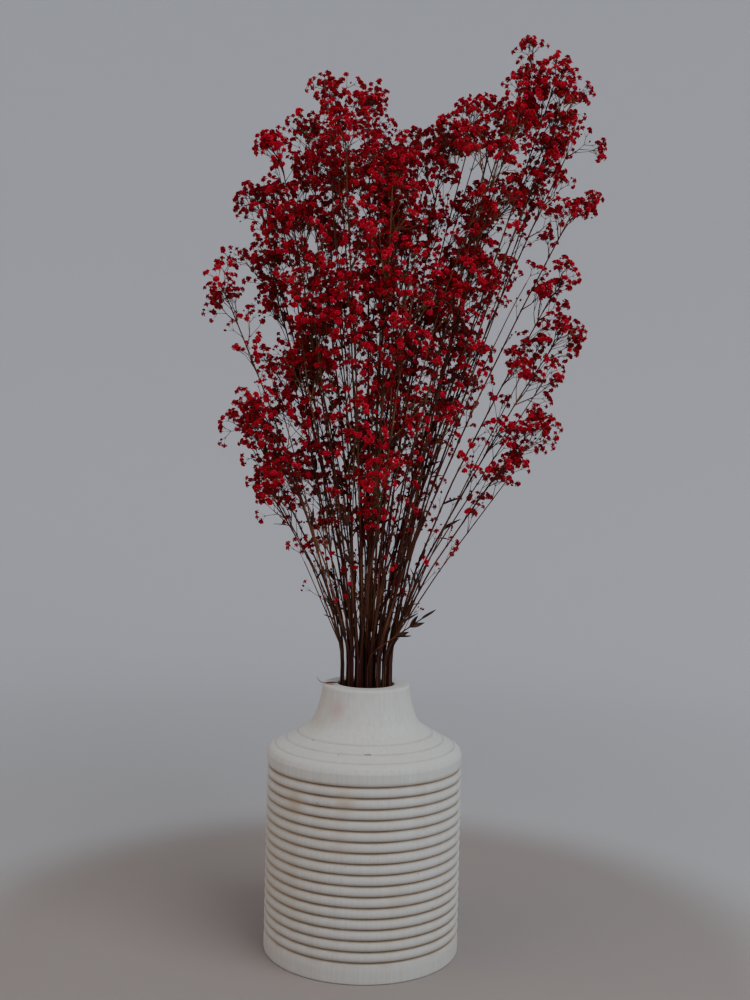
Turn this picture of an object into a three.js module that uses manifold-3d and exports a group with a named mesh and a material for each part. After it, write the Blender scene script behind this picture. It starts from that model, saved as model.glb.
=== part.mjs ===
// Preserved gypsophila in a turned wooden vase.
// Millimetres, +Z up. The origin is the centre of the vase's flat base.

import * as THREE from 'three';
import { mergeVertices } from 'three/addons/utils/BufferGeometryUtils.js';
import Module from 'manifold-3d';

const wasm = await Module();
wasm.setup();

// Vase: outer form
const VASE_RADIUS = 75;
const VASE_HEIGHT = 203.6;
const BASE_CHAMFER = 1;
const GROOVE_COUNT = 17;
const GROOVE_PITCH = 7.886;
const TOP_GROOVE_Z = 141.1;
const GROOVE_WIDTH = 2.3;
const GROOVE_DEPTH = 2;
const RIM_RADIUS = 33.5;
const RIM_ROUNDING = 0.9;
const VASE_SIDES = 24;
const SHOULDER_STEPS = 9;
// The shoulder's ogee from the edge of the plain band up to the rim: radius, height
const SHOULDER_CURVE = [
  [75, 151],
  [72.5, 155.5],
  [64, 160],
  [52, 167],
  [42.3, 173.6],
  [37.6, 183],
  [34.6, 194],
  [33.5, 202.7],
];

// Vase: the bored well
const WELL_RADIUS = 21.7;
const WELL_FLOOR_Z = 18;

// Stems: where they stand
const SEAT_GAP = 0.3;
const NECK_Z = 228;
const LEVEL_STEP = 66;
const RING_RADII = [3, 8.5, 13.9, 19.3];
const RING_COUNTS = [3, 7, 11, 16];
const STEM_SPACING = 5.2;
const STEM_STRAY = 5;
const STEM_BOW = [1.15, 1.35];
const LAST_LEVEL_SHARE = 0.35;
const SPREAD_ROUNDS = 60;

// Stems: thickness, as the radius of the circle round a three-sided section
const STEM_FOOT_RADIUS = 1.5;
const STEM_TIP_RADIUS = 0.8;
const BRANCH_FOOT_RADIUS = 0.85;
const BRANCH_END_RADIUS = 0.6;
const TWIG_RADIUS = 0.5;
const SIDES = 3;

// Florets, drawn larger than life
const FLORET_RADIUS = 5.4;
const FLORET_LENGTH = 6.4;
const FLORET_CROWN = 0.3;

// Growth of a spray, as distances below its tip
const BRANCH_NODES = [26, 60, 102, 152];
const BRANCH_LENGTHS = [25, 40, 52, 60];
const BRANCH_SHORTEST = 18.5;
const BRANCH_SPACING_LEAST = 0.55;
const BRANCH_FLOOR_Z = 290;
const BRANCH_TILT = 0.66;
const BRANCH_LIFT = 0.24;
const BRANCH_BEND = 0.45;
const TWIG_TILT = 0.75;
const TWIG_LENGTH = 18;
const TWIG_SHORTEST = 10.5;
const TWIG_SMALLEST_SHARE = 0.5;
const TWIG_PAIR_SHARE = 0.7;
const TWIG_NODES = [0.38, 0.74];
const TWIG_REACH = 34;

// How limbs of different stems keep clear of each other
const TRIES = 13;
const SHRINK_STEP = 0.03;
const CLEARANCE = 0.5;
const CELL = 24;

// Joining of solids
const WELD = 1e-4;
const MERGE_TOLERANCE = 0.12;
const TINY = 1e-6;

// Leaves
const LEAF_LENGTH = 13;
const LEAF_WIDTH = 3.6;
const LEAF_THICKNESS = 0.8;
const LEAF_ARCH = 1.6;
const LEAF_TILT = 0.7;
const TIP_LEAF_TILT = 0.15;
const LEAF_TURN = 0.5;
const LEAF_NODES = [4, 15, 28, 44];
// The widest place and the taper of a blade, as shares of its length, and the taper's share of its width
const LEAF_BELLY = 0.4;
const LEAF_TAPER = 0.78;
const LEAF_TAPER_WIDTH = 0.6;
const FALLEN_LEAF = { x: -31.5, y: -8, bearing: -0.4, length: 11, width: 3.4, arch: 1.4 };

// Tips of the sprays that the outline shows: x, y, z, and how full each is
const OUTLINE_SPRAYS = [
  [136, 0, 672, 0.6],
  [120, 10, 686, 0.3],
  [142, -10, 650, 0.35],
  [152, 10, 628, 0.45],
  [150, -15, 570, 0.2],
  [140, -10, 514, 0.3],
  [142, -10, 474, 0.65],
  [124, -10, 404, 0.65],
  [-116, -10, 506, 0.2],
  [-84, -20, 416, 0.6],
  [-96, 10, 402, 0.5],
  [-76, -10, 350, 0.5],
  [-92, 10, 578, 0.9],
  [-74, -20, 608, 0.9],
  [-56, 20, 632, 0.9],
  [-86, 20, 534, 0.9],
  [-64, 0, 446, 0.9],
  [-34, 0, 662, 0.7],
  [-8, 20, 656, 0.8],
  [-24, -40, 620, 1],
  [8, -20, 614, 1],
  [34, 40, 634, 1],
  [52, -10, 628, 1],
  [78, 30, 654, 1],
  [98, -30, 634, 1],
  [102, 0, 648, 0.6],
  [98, 15, 590, 1],
  [76, 10, 462, 0.7],
  [-58, -30, 556, 1],
  [76, -20, 532, 1],
];

// Sprays that fill the front and the back: reach from the middle, tip height, how many, and the
// angle either side of +X and -X that they leave to the outline sprays
const FILL_MIDDLE_X = 12;
const FILL_REACH_SPREAD = [0.85, 1.15];
const FILL_HEIGHT_SPREAD = 38;
const FILL_TIERS = [
  { reach: 38, height: 584, count: 2, turn: 1.2 },
  { reach: 50, height: 500, count: 3, turn: 0.4 },
];

// Short leafy stems low in the bundle: x, y, z of the tip
const LEAFY_TIPS = [
  [44, -22, 259],
  [-18, -36, 340],
];

// First keys of the repeatable draws
const KEY = { tier: 100, side: 800, roll: 801, leafTurn: 802, bow: 900, strayX: 901, strayY: 902 };

const COLOURS = {
  whitewash: 0xa5a4a0,
  crimson: 0x8e1220,
  leaf: 0x3a2319,
};

// A repeatable draw between 0 and 1 for whole-number keys
function draw(...keys) {
  let hash = 2166136261;
  for (const key of keys) {
    hash = Math.imul(hash ^ (key + 1), 2654435761) >>> 0;
    hash = (hash ^ (hash >>> 15)) >>> 0;
    hash = Math.imul(hash, 2246822519) >>> 0;
    hash = (hash ^ (hash >>> 13)) >>> 0;
  }
  return hash / 4294967296;
}

function drawBetween(low, high, ...keys) {
  return low + (high - low) * draw(...keys);
}

// Solids

function toSolid(geometry) {
  const bare = geometry.clone();
  bare.deleteAttribute('normal');
  bare.deleteAttribute('uv');
  const merged = mergeVertices(bare, WELD);
  const vertProperties = new Float32Array(merged.attributes.position.array);
  const triVerts = new Uint32Array(merged.index.array);
  return new wasm.Manifold(new wasm.Mesh({ numProp: 3, vertProperties, triVerts }));
}

function toGeometry(solid) {
  const mesh = solid.getMesh();
  const geometry = new THREE.BufferGeometry();
  geometry.setAttribute('position', new THREE.BufferAttribute(mesh.vertProperties, 3));
  geometry.setIndex(new THREE.BufferAttribute(mesh.triVerts, 1));
  return geometry;
}

function joinAll(solids) {
  return solids.reduce((whole, solid) => whole.add(solid)).asOriginal().simplify(MERGE_TOLERANCE);
}

// Vase

function vaseProfile() {
  const points = [];
  const put = (radius, height) => points.push(new THREE.Vector2(radius, height));
  put(0, 0);
  put(VASE_RADIUS - BASE_CHAMFER, 0);
  put(VASE_RADIUS, BASE_CHAMFER);
  for (let index = GROOVE_COUNT - 1; index >= 0; index -= 1) {
    const middle = TOP_GROOVE_Z - index * GROOVE_PITCH;
    put(VASE_RADIUS, middle - GROOVE_WIDTH / 2);
    put(VASE_RADIUS - GROOVE_DEPTH, middle + GROOVE_WIDTH / 4);
    put(VASE_RADIUS, middle + GROOVE_WIDTH / 2);
  }
  const ogee = new THREE.SplineCurve(SHOULDER_CURVE.map(([radius, z]) => new THREE.Vector2(radius, z)));
  points.push(...ogee.getPoints(SHOULDER_STEPS));
  put(RIM_RADIUS - RIM_ROUNDING, VASE_HEIGHT);
  put(WELL_RADIUS + RIM_ROUNDING, VASE_HEIGHT);
  put(WELL_RADIUS, VASE_HEIGHT - RIM_ROUNDING);
  put(WELL_RADIUS, WELL_FLOOR_Z);
  put(0, WELL_FLOOR_Z);
  return points;
}

function makeVase() {
  const geometry = new THREE.LatheGeometry(vaseProfile(), VASE_SIDES);
  geometry.rotateX(Math.PI / 2);
  return toGeometry(toSolid(geometry));
}

// Three-sided limbs

// The directions along, across and outward on one stretch of a limb
function frameAt(limb, link) {
  const along = limb.chain[link].clone().sub(limb.chain[link - 1]).normalize();
  const outward = limb.outward.clone().addScaledVector(along, -limb.outward.dot(along)).normalize();
  const across = new THREE.Vector3().crossVectors(along, outward);
  return { along, across, outward };
}

// The distance of each point of a chain from its start
function chainLengths(chain) {
  const lengths = [0];
  for (let index = 1; index < chain.length; index += 1) {
    lengths.push(lengths[index - 1] + chain[index].distanceTo(chain[index - 1]));
  }
  return lengths;
}

function limbLength(limb) {
  return chainLengths(limb.chain)[limb.chain.length - 1];
}

// Lathes a profile of [radius, distance] pairs and bends its axis onto the limb's chain of points
function bendLimb(profile, limb) {
  const outline = profile.map(([radius, distance]) => new THREE.Vector2(radius, distance));
  const geometry = new THREE.LatheGeometry(outline, SIDES);
  const { chain } = limb;
  const lengths = chainLengths(chain);
  const position = geometry.attributes.position;
  for (let index = 0; index < position.count; index += 1) {
    const distance = position.getY(index);
    let link = 1;
    while (link < chain.length - 1 && distance > lengths[link] + TINY) {
      link += 1;
    }
    const share = (distance - lengths[link - 1]) / (lengths[link] - lengths[link - 1]);
    const centre = chain[link - 1].clone().lerp(chain[link], share);
    const { across, outward } = frameAt(limb, link);
    if (link < chain.length - 1 && share > 1 - TINY) {
      const next = frameAt(limb, link + 1);
      across.add(next.across).normalize();
      outward.add(next.outward).normalize();
    }
    centre.addScaledVector(across, position.getX(index));
    centre.addScaledVector(outward, position.getZ(index));
    position.setXYZ(index, centre.x, centre.y, centre.z);
  }
  return toSolid(geometry);
}

// A limb that tapers along a chain of points, and opens into a floret at its end if asked
function makeLimb(limb, hasFloret) {
  const { chain, foot, end } = limb;
  const profile = [[0, 0]];
  const lengths = chainLengths(chain);
  const total = lengths[lengths.length - 1];
  for (const distance of lengths.slice(0, -1)) {
    profile.push([foot + (end - foot) * (distance / total), distance]);
  }
  if (hasFloret) {
    profile.push([end, total - FLORET_LENGTH]);
    profile.push([FLORET_RADIUS, total - FLORET_LENGTH * FLORET_CROWN]);
  } else {
    profile.push([end, total]);
  }
  profile.push([0, total]);
  return bendLimb(profile, limb);
}

// A lance-shaped blade, arched toward its face, that starts at a point
function makeLeaf(foot, along, face, length, width, arch) {
  const half = width / 2;
  const shape = new THREE.Shape();
  shape.moveTo(-LEAF_THICKNESS / 2, 0);
  shape.lineTo(LEAF_THICKNESS / 2, 0);
  shape.lineTo(half, length * LEAF_BELLY);
  shape.lineTo(half * LEAF_TAPER_WIDTH, length * LEAF_TAPER);
  shape.lineTo(0, length);
  shape.lineTo(-half * LEAF_TAPER_WIDTH, length * LEAF_TAPER);
  shape.lineTo(-half, length * LEAF_BELLY);
  const geometry = new THREE.ExtrudeGeometry(shape, { depth: LEAF_THICKNESS, bevelEnabled: false });
  const position = geometry.attributes.position;
  for (let index = 0; index < position.count; index += 1) {
    const rise = arch * (position.getY(index) / length) ** 2;
    position.setZ(index, position.getZ(index) + rise - LEAF_THICKNESS / 2);
  }
  const across = new THREE.Vector3().crossVectors(along, face);
  geometry.applyMatrix4(new THREE.Matrix4().makeBasis(across, along, face).setPosition(foot));
  return toSolid(geometry);
}

// Where each stem runs

function fillTips() {
  const tips = [];
  for (const [tier, { reach, height, count, turn }] of FILL_TIERS.entries()) {
    for (let index = 0; index < count; index += 1) {
      const side = index % 2 === 0 ? -1 : 1;
      const share = (Math.floor(index / 2) + 0.5) / (count / 2);
      const angle = side * (turn + share * (Math.PI - 2 * turn));
      const distance = reach * drawBetween(...FILL_REACH_SPREAD, KEY.tier + tier, index, 0);
      const z = height + drawBetween(-FILL_HEIGHT_SPREAD, FILL_HEIGHT_SPREAD, KEY.tier + tier, index, 1);
      tips.push([distance * Math.cos(angle) + FILL_MIDDLE_X, distance * Math.sin(angle), z, 1]);
    }
  }
  return tips;
}

// Seats every stem in a ring of the well so that its side of the well is its side of the bouquet
function seatStems(tips) {
  const order = tips.map((tip, index) => index);
  const lean = (index) => Math.hypot(tips[index][0], tips[index][1]) / (tips[index][2] - NECK_Z);
  order.sort((first, second) => lean(first) - lean(second));
  const feet = [];
  let start = 0;
  for (let ring = 0; ring < RING_COUNTS.length; ring += 1) {
    const members = order.slice(start, start + RING_COUNTS[ring]);
    start += RING_COUNTS[ring];
    const bearing = (index) => Math.atan2(tips[index][1], tips[index][0]);
    members.sort((first, second) => bearing(first) - bearing(second));
    const step = (2 * Math.PI) / members.length;
    let sine = 0;
    let cosine = 0;
    for (const [place, index] of members.entries()) {
      sine += Math.sin(bearing(index) - place * step);
      cosine += Math.cos(bearing(index) - place * step);
    }
    const phase = Math.atan2(sine, cosine);
    for (const [place, index] of members.entries()) {
      const angle = phase + place * step;
      feet[index] = [RING_RADII[ring] * Math.cos(angle), RING_RADII[ring] * Math.sin(angle)];
    }
  }
  return feet;
}

// Each stem's chain: foot, neck, then one point at every level up to its tip
function runStems(tips) {
  const feet = seatStems(tips);
  const chains = tips.map(([x, y, z], stem) => {
    const [footX, footY] = feet[stem];
    const chain = [new THREE.Vector3(footX, footY, WELL_FLOOR_Z + SEAT_GAP)];
    chain.push(new THREE.Vector3(footX, footY, NECK_Z));
    const levels = Math.floor((z - NECK_Z) / LEVEL_STEP - LAST_LEVEL_SHARE);
    const bow = drawBetween(...STEM_BOW, stem, KEY.bow);
    for (let level = 1; level <= levels; level += 1) {
      const height = NECK_Z + level * LEVEL_STEP;
      const share = (height - NECK_Z) / (z - NECK_Z);
      const bend = share ** bow;
      const stray = STEM_STRAY * share * (1 - share);
      chain.push(new THREE.Vector3(
        footX + (x - footX) * bend + stray * drawBetween(-1, 1, stem, KEY.strayX, level),
        footY + (y - footY) * bend + stray * drawBetween(-1, 1, stem, KEY.strayY, level),
        height,
      ));
    }
    chain.push(new THREE.Vector3(x, y, z));
    return chain;
  });
  spreadStems(chains);
  return chains;
}

// Pushes stems apart, level by level, until they clear each other
function spreadStems(chains) {
  for (let round = 0; round < SPREAD_ROUNDS; round += 1) {
    for (let first = 0; first < chains.length; first += 1) {
      for (let second = first + 1; second < chains.length; second += 1) {
        const shared = Math.min(chains[first].length, chains[second].length) - 1;
        for (let level = 2; level < shared; level += 1) {
          const one = chains[first][level];
          const other = chains[second][level];
          const apartX = other.x - one.x;
          const apartY = other.y - one.y;
          const apart = Math.hypot(apartX, apartY);
          const lack = STEM_SPACING - apart;
          if (lack > 0) {
            const pushX = ((apartX / apart) * lack) / 2;
            const pushY = ((apartY / apart) * lack) / 2;
            one.x -= pushX;
            one.y -= pushY;
            other.x += pushX;
            other.y += pushY;
          }
        }
      }
    }
  }
}

// Clearance between nodes

const grid = new Map();

function cellsOf(capsule) {
  const reach = capsule.radius + CLEARANCE;
  const keys = [];
  const range = (axis) => {
    const low = Math.min(capsule.from[axis], capsule.to[axis]) - reach;
    const high = Math.max(capsule.from[axis], capsule.to[axis]) + reach;
    return [Math.floor(low / CELL), Math.floor(high / CELL)];
  };
  const [xLow, xHigh] = range('x');
  const [yLow, yHigh] = range('y');
  const [zLow, zHigh] = range('z');
  for (let x = xLow; x <= xHigh; x += 1) {
    for (let y = yLow; y <= yHigh; y += 1) {
      for (let z = zLow; z <= zHigh; z += 1) {
        keys.push(`${x},${y},${z}`);
      }
    }
  }
  return keys;
}

function occupy(stem, capsule) {
  const entry = { stem, ...capsule };
  for (const key of cellsOf(capsule)) {
    if (!grid.has(key)) {
      grid.set(key, []);
    }
    grid.get(key).push(entry);
  }
}

// Shortest distance between two straight stretches
function stretchGap(first, second) {
  const u = first.to.clone().sub(first.from);
  const v = second.to.clone().sub(second.from);
  const w = first.from.clone().sub(second.from);
  const a = u.dot(u);
  const b = u.dot(v);
  const c = v.dot(v);
  const d = u.dot(w);
  const e = v.dot(w);
  const clamp = (value) => Math.min(1, Math.max(0, value));
  const spread = a * c - b * b;
  const guess = spread > TINY ? clamp((b * e - c * d) / spread) : 0;
  const t = clamp((b * guess + e) / c);
  const s = clamp((b * t - d) / a);
  return w.addScaledVector(u, s).addScaledVector(v, -t).length();
}

function isClear(stem, capsules) {
  for (const capsule of capsules) {
    for (const key of cellsOf(capsule)) {
      for (const other of grid.get(key) ?? []) {
        const reach = capsule.radius + other.radius + CLEARANCE;
        if (other.stem !== stem && stretchGap(capsule, other) < reach) {
          return false;
        }
      }
    }
  }
  return true;
}

function chainCapsules(chain, radius) {
  const capsules = [];
  for (let index = 1; index < chain.length; index += 1) {
    capsules.push({ from: chain[index - 1], to: chain[index], radius });
  }
  return capsules;
}

function floretCapsule(chain) {
  const end = chain[chain.length - 1];
  const axis = end.clone().sub(chain[chain.length - 2]).normalize();
  const crown = end.clone().addScaledVector(axis, -FLORET_LENGTH * FLORET_CROWN);
  const neck = end.clone().addScaledVector(axis, -FLORET_LENGTH / 2);
  return { from: neck, to: crown, radius: FLORET_RADIUS };
}

// Growth

// The point a distance back from the end of a limb, and the stretch that it lies on
function pointBack(limb, distance) {
  const { chain } = limb;
  let left = distance;
  let link = chain.length - 1;
  while (link > 1 && left > chain[link].distanceTo(chain[link - 1])) {
    left -= chain[link].distanceTo(chain[link - 1]);
    link -= 1;
  }
  const { along, across, outward } = frameAt(limb, link);
  return { point: chain[link].clone().addScaledVector(along, -left), along, across, outward };
}

// A child limb that leaves its parent through the middle of one of the parent's three sides
function forkLimb(root, side, angle, lift, length, foot, end) {
  const bearing = Math.PI / 6 + (side * 2 * Math.PI) / SIDES;
  const normal = root.across.clone().multiplyScalar(Math.cos(bearing));
  normal.addScaledVector(root.outward, Math.sin(bearing));
  const head = (tilt) => root.along.clone()
    .multiplyScalar(Math.cos(tilt))
    .addScaledVector(normal, Math.sin(tilt));
  const outward = root.along.clone()
    .multiplyScalar(Math.sin(angle))
    .addScaledVector(normal, -Math.cos(angle));
  const chain = [root.point];
  if (lift > 0) {
    chain.push(root.point.clone().addScaledVector(head(angle), length * BRANCH_BEND));
    chain.push(chain[1].clone().addScaledVector(head(angle - lift), length * (1 - BRANCH_BEND)));
  } else {
    chain.push(root.point.clone().addScaledVector(head(angle), length));
  }
  return { chain, foot, end, outward };
}

// Tries the three sides and shorter lengths until a limb with a floret clears every other node
function placeLimb(stem, makeChild, firstSide) {
  for (let attempt = 0; attempt < TRIES; attempt += 1) {
    const limb = makeChild(firstSide + attempt, 1 - SHRINK_STEP * attempt);
    const capsules = [...chainCapsules(limb.chain, limb.foot), floretCapsule(limb.chain)];
    if (isClear(stem, capsules)) {
      capsules.forEach((capsule) => occupy(stem, capsule));
      return limb;
    }
  }
  return null;
}

function makeTrunk(stem, chain) {
  const roll = draw(stem, KEY.roll) * 2 * Math.PI;
  const outward = new THREE.Vector3(Math.cos(roll), Math.sin(roll), 0);
  return { chain, foot: STEM_FOOT_RADIUS, end: STEM_TIP_RADIUS, outward };
}

function growSpray(stem, trunk, fullness) {
  const limbs = [trunk];
  const firstSide = Math.floor(draw(stem, KEY.side) * SIDES);
  const tipZ = trunk.chain[trunk.chain.length - 1].z;
  const squeeze = Math.min(1, (tipZ - BRANCH_FLOOR_Z) / BRANCH_NODES[BRANCH_NODES.length - 1]);
  const spacing = Math.max(fullness, BRANCH_SPACING_LEAST);
  const grown = Math.max(Math.sqrt(fullness * squeeze), TWIG_SMALLEST_SHARE);
  for (const [node, back] of BRANCH_NODES.entries()) {
    const distance = back * spacing * squeeze * drawBetween(0.85, 1.15, stem, node, 1);
    const full = BRANCH_LENGTHS[node] * fullness * Math.sqrt(squeeze);
    const length = Math.max(full * drawBetween(0.8, 1.2, stem, node, 2), BRANCH_SHORTEST);
    const root = pointBack(trunk, distance);
    const branch = placeLimb(
      stem,
      (side, shrink) => forkLimb(
        root,
        side,
        BRANCH_TILT,
        BRANCH_LIFT,
        length * shrink,
        BRANCH_FOOT_RADIUS,
        BRANCH_END_RADIUS,
      ),
      firstSide + node,
    );
    if (branch !== null) {
      limbs.push(branch);
      growTwigs(stem, node, branch, limbs, grown);
    }
  }
  growTwigs(stem, BRANCH_NODES.length, trunk, limbs, grown);
  return limbs;
}

// Forks near the end of a branch, each a twig with a floret
function growTwigs(stem, node, branch, limbs, grown) {
  const shares = grown < TWIG_PAIR_SHARE ? TWIG_NODES.slice(0, 1) : TWIG_NODES;
  for (const [place, share] of shares.entries()) {
    const reach = Math.min(limbLength(branch), TWIG_REACH);
    const root = pointBack(branch, reach * share * drawBetween(0.92, 1.08, stem, node, place, 3));
    const full = TWIG_LENGTH * grown;
    const length = Math.max(full * drawBetween(0.8, 1.25, stem, node, place, 4), TWIG_SHORTEST);
    const twig = placeLimb(
      stem,
      (side, shrink) => forkLimb(root, side, TWIG_TILT, 0, length * shrink, TWIG_RADIUS, TWIG_RADIUS),
      place + Math.floor(draw(stem, node, place, 5) * SIDES),
    );
    if (twig !== null) {
      limbs.push(twig);
    }
  }
}

// Pairs of leaves up a short stem, and one at its tip
function growLeaves(stem, trunk) {
  const leaves = [];
  const turn = draw(stem, KEY.leafTurn) * Math.PI;
  for (const [node, back] of LEAF_NODES.entries()) {
    const root = pointBack(trunk, back);
    const pair = node === 0 ? [0] : [0, Math.PI];
    for (const side of pair) {
      const leaf = placeLeaf(stem, root, turn + node * Math.PI / 2 + side, node);
      if (leaf !== null) {
        leaves.push(leaf);
      }
    }
  }
  return leaves;
}

function placeLeaf(stem, root, firstBearing, node) {
  const angle = node === 0 ? TIP_LEAF_TILT : LEAF_TILT;
  for (let attempt = 0; attempt < TRIES; attempt += 1) {
    const bearing = firstBearing + attempt * LEAF_TURN;
    const length = LEAF_LENGTH * (1 - SHRINK_STEP * attempt);
    const aside = root.across.clone().multiplyScalar(Math.cos(bearing));
    aside.addScaledVector(root.outward, Math.sin(bearing));
    const along = root.along.clone().multiplyScalar(Math.cos(angle)).addScaledVector(aside, Math.sin(angle));
    const face = root.along.clone().multiplyScalar(Math.sin(angle)).addScaledVector(aside, -Math.cos(angle));
    const end = root.point.clone().addScaledVector(along, length);
    const capsules = [{ from: root.point, to: end, radius: LEAF_WIDTH / 2 + LEAF_THICKNESS }];
    if (isClear(stem, capsules)) {
      occupy(stem, capsules[0]);
      return makeLeaf(root.point, along, face, length, LEAF_WIDTH, LEAF_ARCH);
    }
  }
  return null;
}

function makeFallenLeaf() {
  const { x, y, bearing, length, width, arch } = FALLEN_LEAF;
  const foot = new THREE.Vector3(x, y, VASE_HEIGHT + SEAT_GAP + LEAF_THICKNESS / 2);
  const along = new THREE.Vector3(Math.cos(bearing), Math.sin(bearing), 0);
  return toGeometry(makeLeaf(foot, along, new THREE.Vector3(0, 0, 1), length, width, arch));
}

// Assembly

const bouquet = new THREE.Group();

function addPiece(name, geometry, color, roughness) {
  const material = new THREE.MeshStandardMaterial({ color, roughness, metalness: 0 });
  const mesh = new THREE.Mesh(geometry, material);
  mesh.name = name;
  bouquet.add(mesh);
}

function label(prefix, index) {
  return `${prefix}_${String(index + 1).padStart(2, '0')}`;
}

addPiece('vase', makeVase(), COLOURS.whitewash, 0.85);

const sprayTips = [...OUTLINE_SPRAYS, ...fillTips()];
const leafyTips = LEAFY_TIPS.map(([x, y, z]) => [x, y, z, 0]);
const stemChains = runStems([...sprayTips, ...leafyTips]);
for (const [stem, chain] of stemChains.entries()) {
  chainCapsules(chain, STEM_FOOT_RADIUS).forEach((capsule) => occupy(stem, capsule));
}
for (let stem = 0; stem < sprayTips.length; stem += 1) {
  occupy(stem, floretCapsule(stemChains[stem]));
}
for (const [stem, [, , , fullness]] of sprayTips.entries()) {
  const trunk = makeTrunk(stem, stemChains[stem]);
  const limbs = growSpray(stem, trunk, fullness);
  const solids = limbs.map((limb) => makeLimb(limb, true));
  addPiece(label('spray', stem), toGeometry(joinAll(solids)), COLOURS.crimson, 0.9);
}
for (const [index, chain] of stemChains.slice(sprayTips.length).entries()) {
  const stem = sprayTips.length + index;
  const trunk = makeTrunk(stem, chain);
  const solids = [makeLimb(trunk, false), ...growLeaves(stem, trunk)];
  addPiece(label('leafy_stem', index), toGeometry(joinAll(solids)), COLOURS.leaf, 0.95);
}
addPiece('fallen_leaf', makeFallenLeaf(), COLOURS.leaf, 0.95);

export default bouquet;
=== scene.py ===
import itertools
from math import atan2, cos, exp, floor, hypot, pi, radians, sin, sqrt

import bpy
import numpy as np
from mathutils import Matrix
from mathutils import Vector


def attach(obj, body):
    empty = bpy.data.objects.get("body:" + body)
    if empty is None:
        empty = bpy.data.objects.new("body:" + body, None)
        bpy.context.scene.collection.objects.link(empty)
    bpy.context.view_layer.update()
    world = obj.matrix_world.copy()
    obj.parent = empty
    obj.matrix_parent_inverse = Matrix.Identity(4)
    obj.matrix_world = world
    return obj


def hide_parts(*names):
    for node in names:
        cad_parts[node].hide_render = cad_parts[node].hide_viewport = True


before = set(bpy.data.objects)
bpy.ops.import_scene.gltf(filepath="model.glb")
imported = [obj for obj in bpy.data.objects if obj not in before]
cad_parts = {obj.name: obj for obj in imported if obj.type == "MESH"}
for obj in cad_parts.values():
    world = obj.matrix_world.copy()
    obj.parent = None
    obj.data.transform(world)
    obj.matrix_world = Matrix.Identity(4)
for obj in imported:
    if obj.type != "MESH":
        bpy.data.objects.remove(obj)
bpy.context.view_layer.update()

# Lengths are in millimetres until a mesh is made
MM = 0.001

# Camera, as fitted to the vase in the photograph
PHOTO_LONG_SIDE = 1000
CAMERA_FOCAL_PIXELS = 1178.5
CAMERA_PLACE = (9.46, -907.9, 366.0)
CAMERA_PITCH = radians(-1.314)
CAMERA_ROLL = radians(1.279)
CAMERA_YAW = radians(-0.359)
SENSOR_WIDTH = 36

# Vase
VASE_RADIUS = 75
VASE_HEIGHT = 203.6
BASE_CHAMFER = 1
GROOVE_COUNT = 17
GROOVE_PITCH = 7.886
TOP_GROOVE_Z = 141.1
GROOVE_WIDTH = 2.3
GROOVE_DEPTH = 2
LAND_CROWN = 0.7
LAND_POWER = 2.6
LAND_SHARES = [0.04, 0.15, 0.32, 0.5, 0.68, 0.85, 0.96]
RIM_RADIUS = 33.5
RIM_ROUNDING = 1.3
WELL_RADIUS = 21.7
WELL_ROUNDING = 0.9
WELL_FLOOR_Z = 18
WELL_HEIGHTS = [150, 80, WELL_FLOOR_Z]
BASE_FLAT_INSET = 6
VASE_SIDES = 112
SHOULDER_STEPS = 56
SHOULDER_CURVE = [
    (75, 151),
    (72.5, 155.5),
    (64, 160),
    (52, 167),
    (42.3, 173.6),
    (37.6, 183),
    (34.6, 194),
    (33.5, 202.3),
]
TURNING_RINGS = [52, 60.5, 69]
TURNING_RING_DEPTH = 0.4
TURNING_RING_WIDTH = 0.6

# Marks on the wash, the first a broad painted shade over the left side: place, how far each reaches, how
# strong it is at most, and its colour
STAINS_AND_LEFT_SHADE = [
    # Painted shade: a broad warm darkening over the left side of the body
    ((-75, -25, 75), 75, 0.5, (0.43, 0.365, 0.285)),
    ((-36, -8, 190), 24, 0.55, (0.43, 0.365, 0.32)),
    ((-21, -29, 188), 12, 0.8, (0.48, 0.27, 0.27)),
    ((-37, -21, 172), 18, 0.6, (0.46, 0.45, 0.30)),
    ((-50, -56, 125), 14, 0.95, (0.40, 0.31, 0.21)),
    ((-12, -74, 130), 13, 0.8, (0.42, 0.34, 0.26)),
    ((-16, -73, 98), 16, 0.6, (0.42, 0.35, 0.27)),
    ((30, -69, 60), 14, 0.3, (0.44, 0.39, 0.31)),
]
SPECKS = [
    ((4.6, -60, 162.1), 1.5),
    ((3.0, -60.1, 162.4), 1.6),
    ((1.2, -60.3, 162.3), 1.5),
    ((-38.1, -36.5, 166.6), 1.5),
    ((-52.3, -22.8, 166), 1.8),
    ((-26.9, -38.7, 170.3), 0.9),
    ((-18.5, -59, 161.2), 0.9),
    ((6.5, -44.6, 171.7), 0.9),
]
SPECK_TONE = (0.10, 0.06, 0.04)
DOT_SCALE = 95.0

# Colours of the wood: its wash, its thin places, its darker ring lines, painted shade along the lands, and
# where it is bare
WASH_TONES = [(0.505, 0.50, 0.475), (0.56, 0.56, 0.545)]
GRAIN_TONE = (0.44, 0.415, 0.36)
BLOTCH_TONE = (0.52, 0.49, 0.42)
EDGE_TONE = (0.42, 0.365, 0.29)
RING_LINE_TONE = (0.36, 0.34, 0.30)
# Painted shade along the lower edge of each land
LAND_SHADE_TONE = (0.36, 0.30, 0.235)
GROOVE_TONE = (0.245, 0.185, 0.125)
WELL_TONE = (0.12, 0.085, 0.055)

# Colours of the plant: the darker and the lighter of a pair come first and last
PETAL_TONES = [(0.31, 0.004, 0.014), (0.55, 0.012, 0.034)]
PETAL_DARK_TONE = (0.27, 0.003, 0.011)
CALYX_TONES = [(0.10, 0.005, 0.008), (0.17, 0.012, 0.012)]
STEM_TONES = [(0.065, 0.015, 0.009), (0.18, 0.075, 0.034)]
STREAK_TONE = (0.040, 0.010, 0.007)
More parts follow.
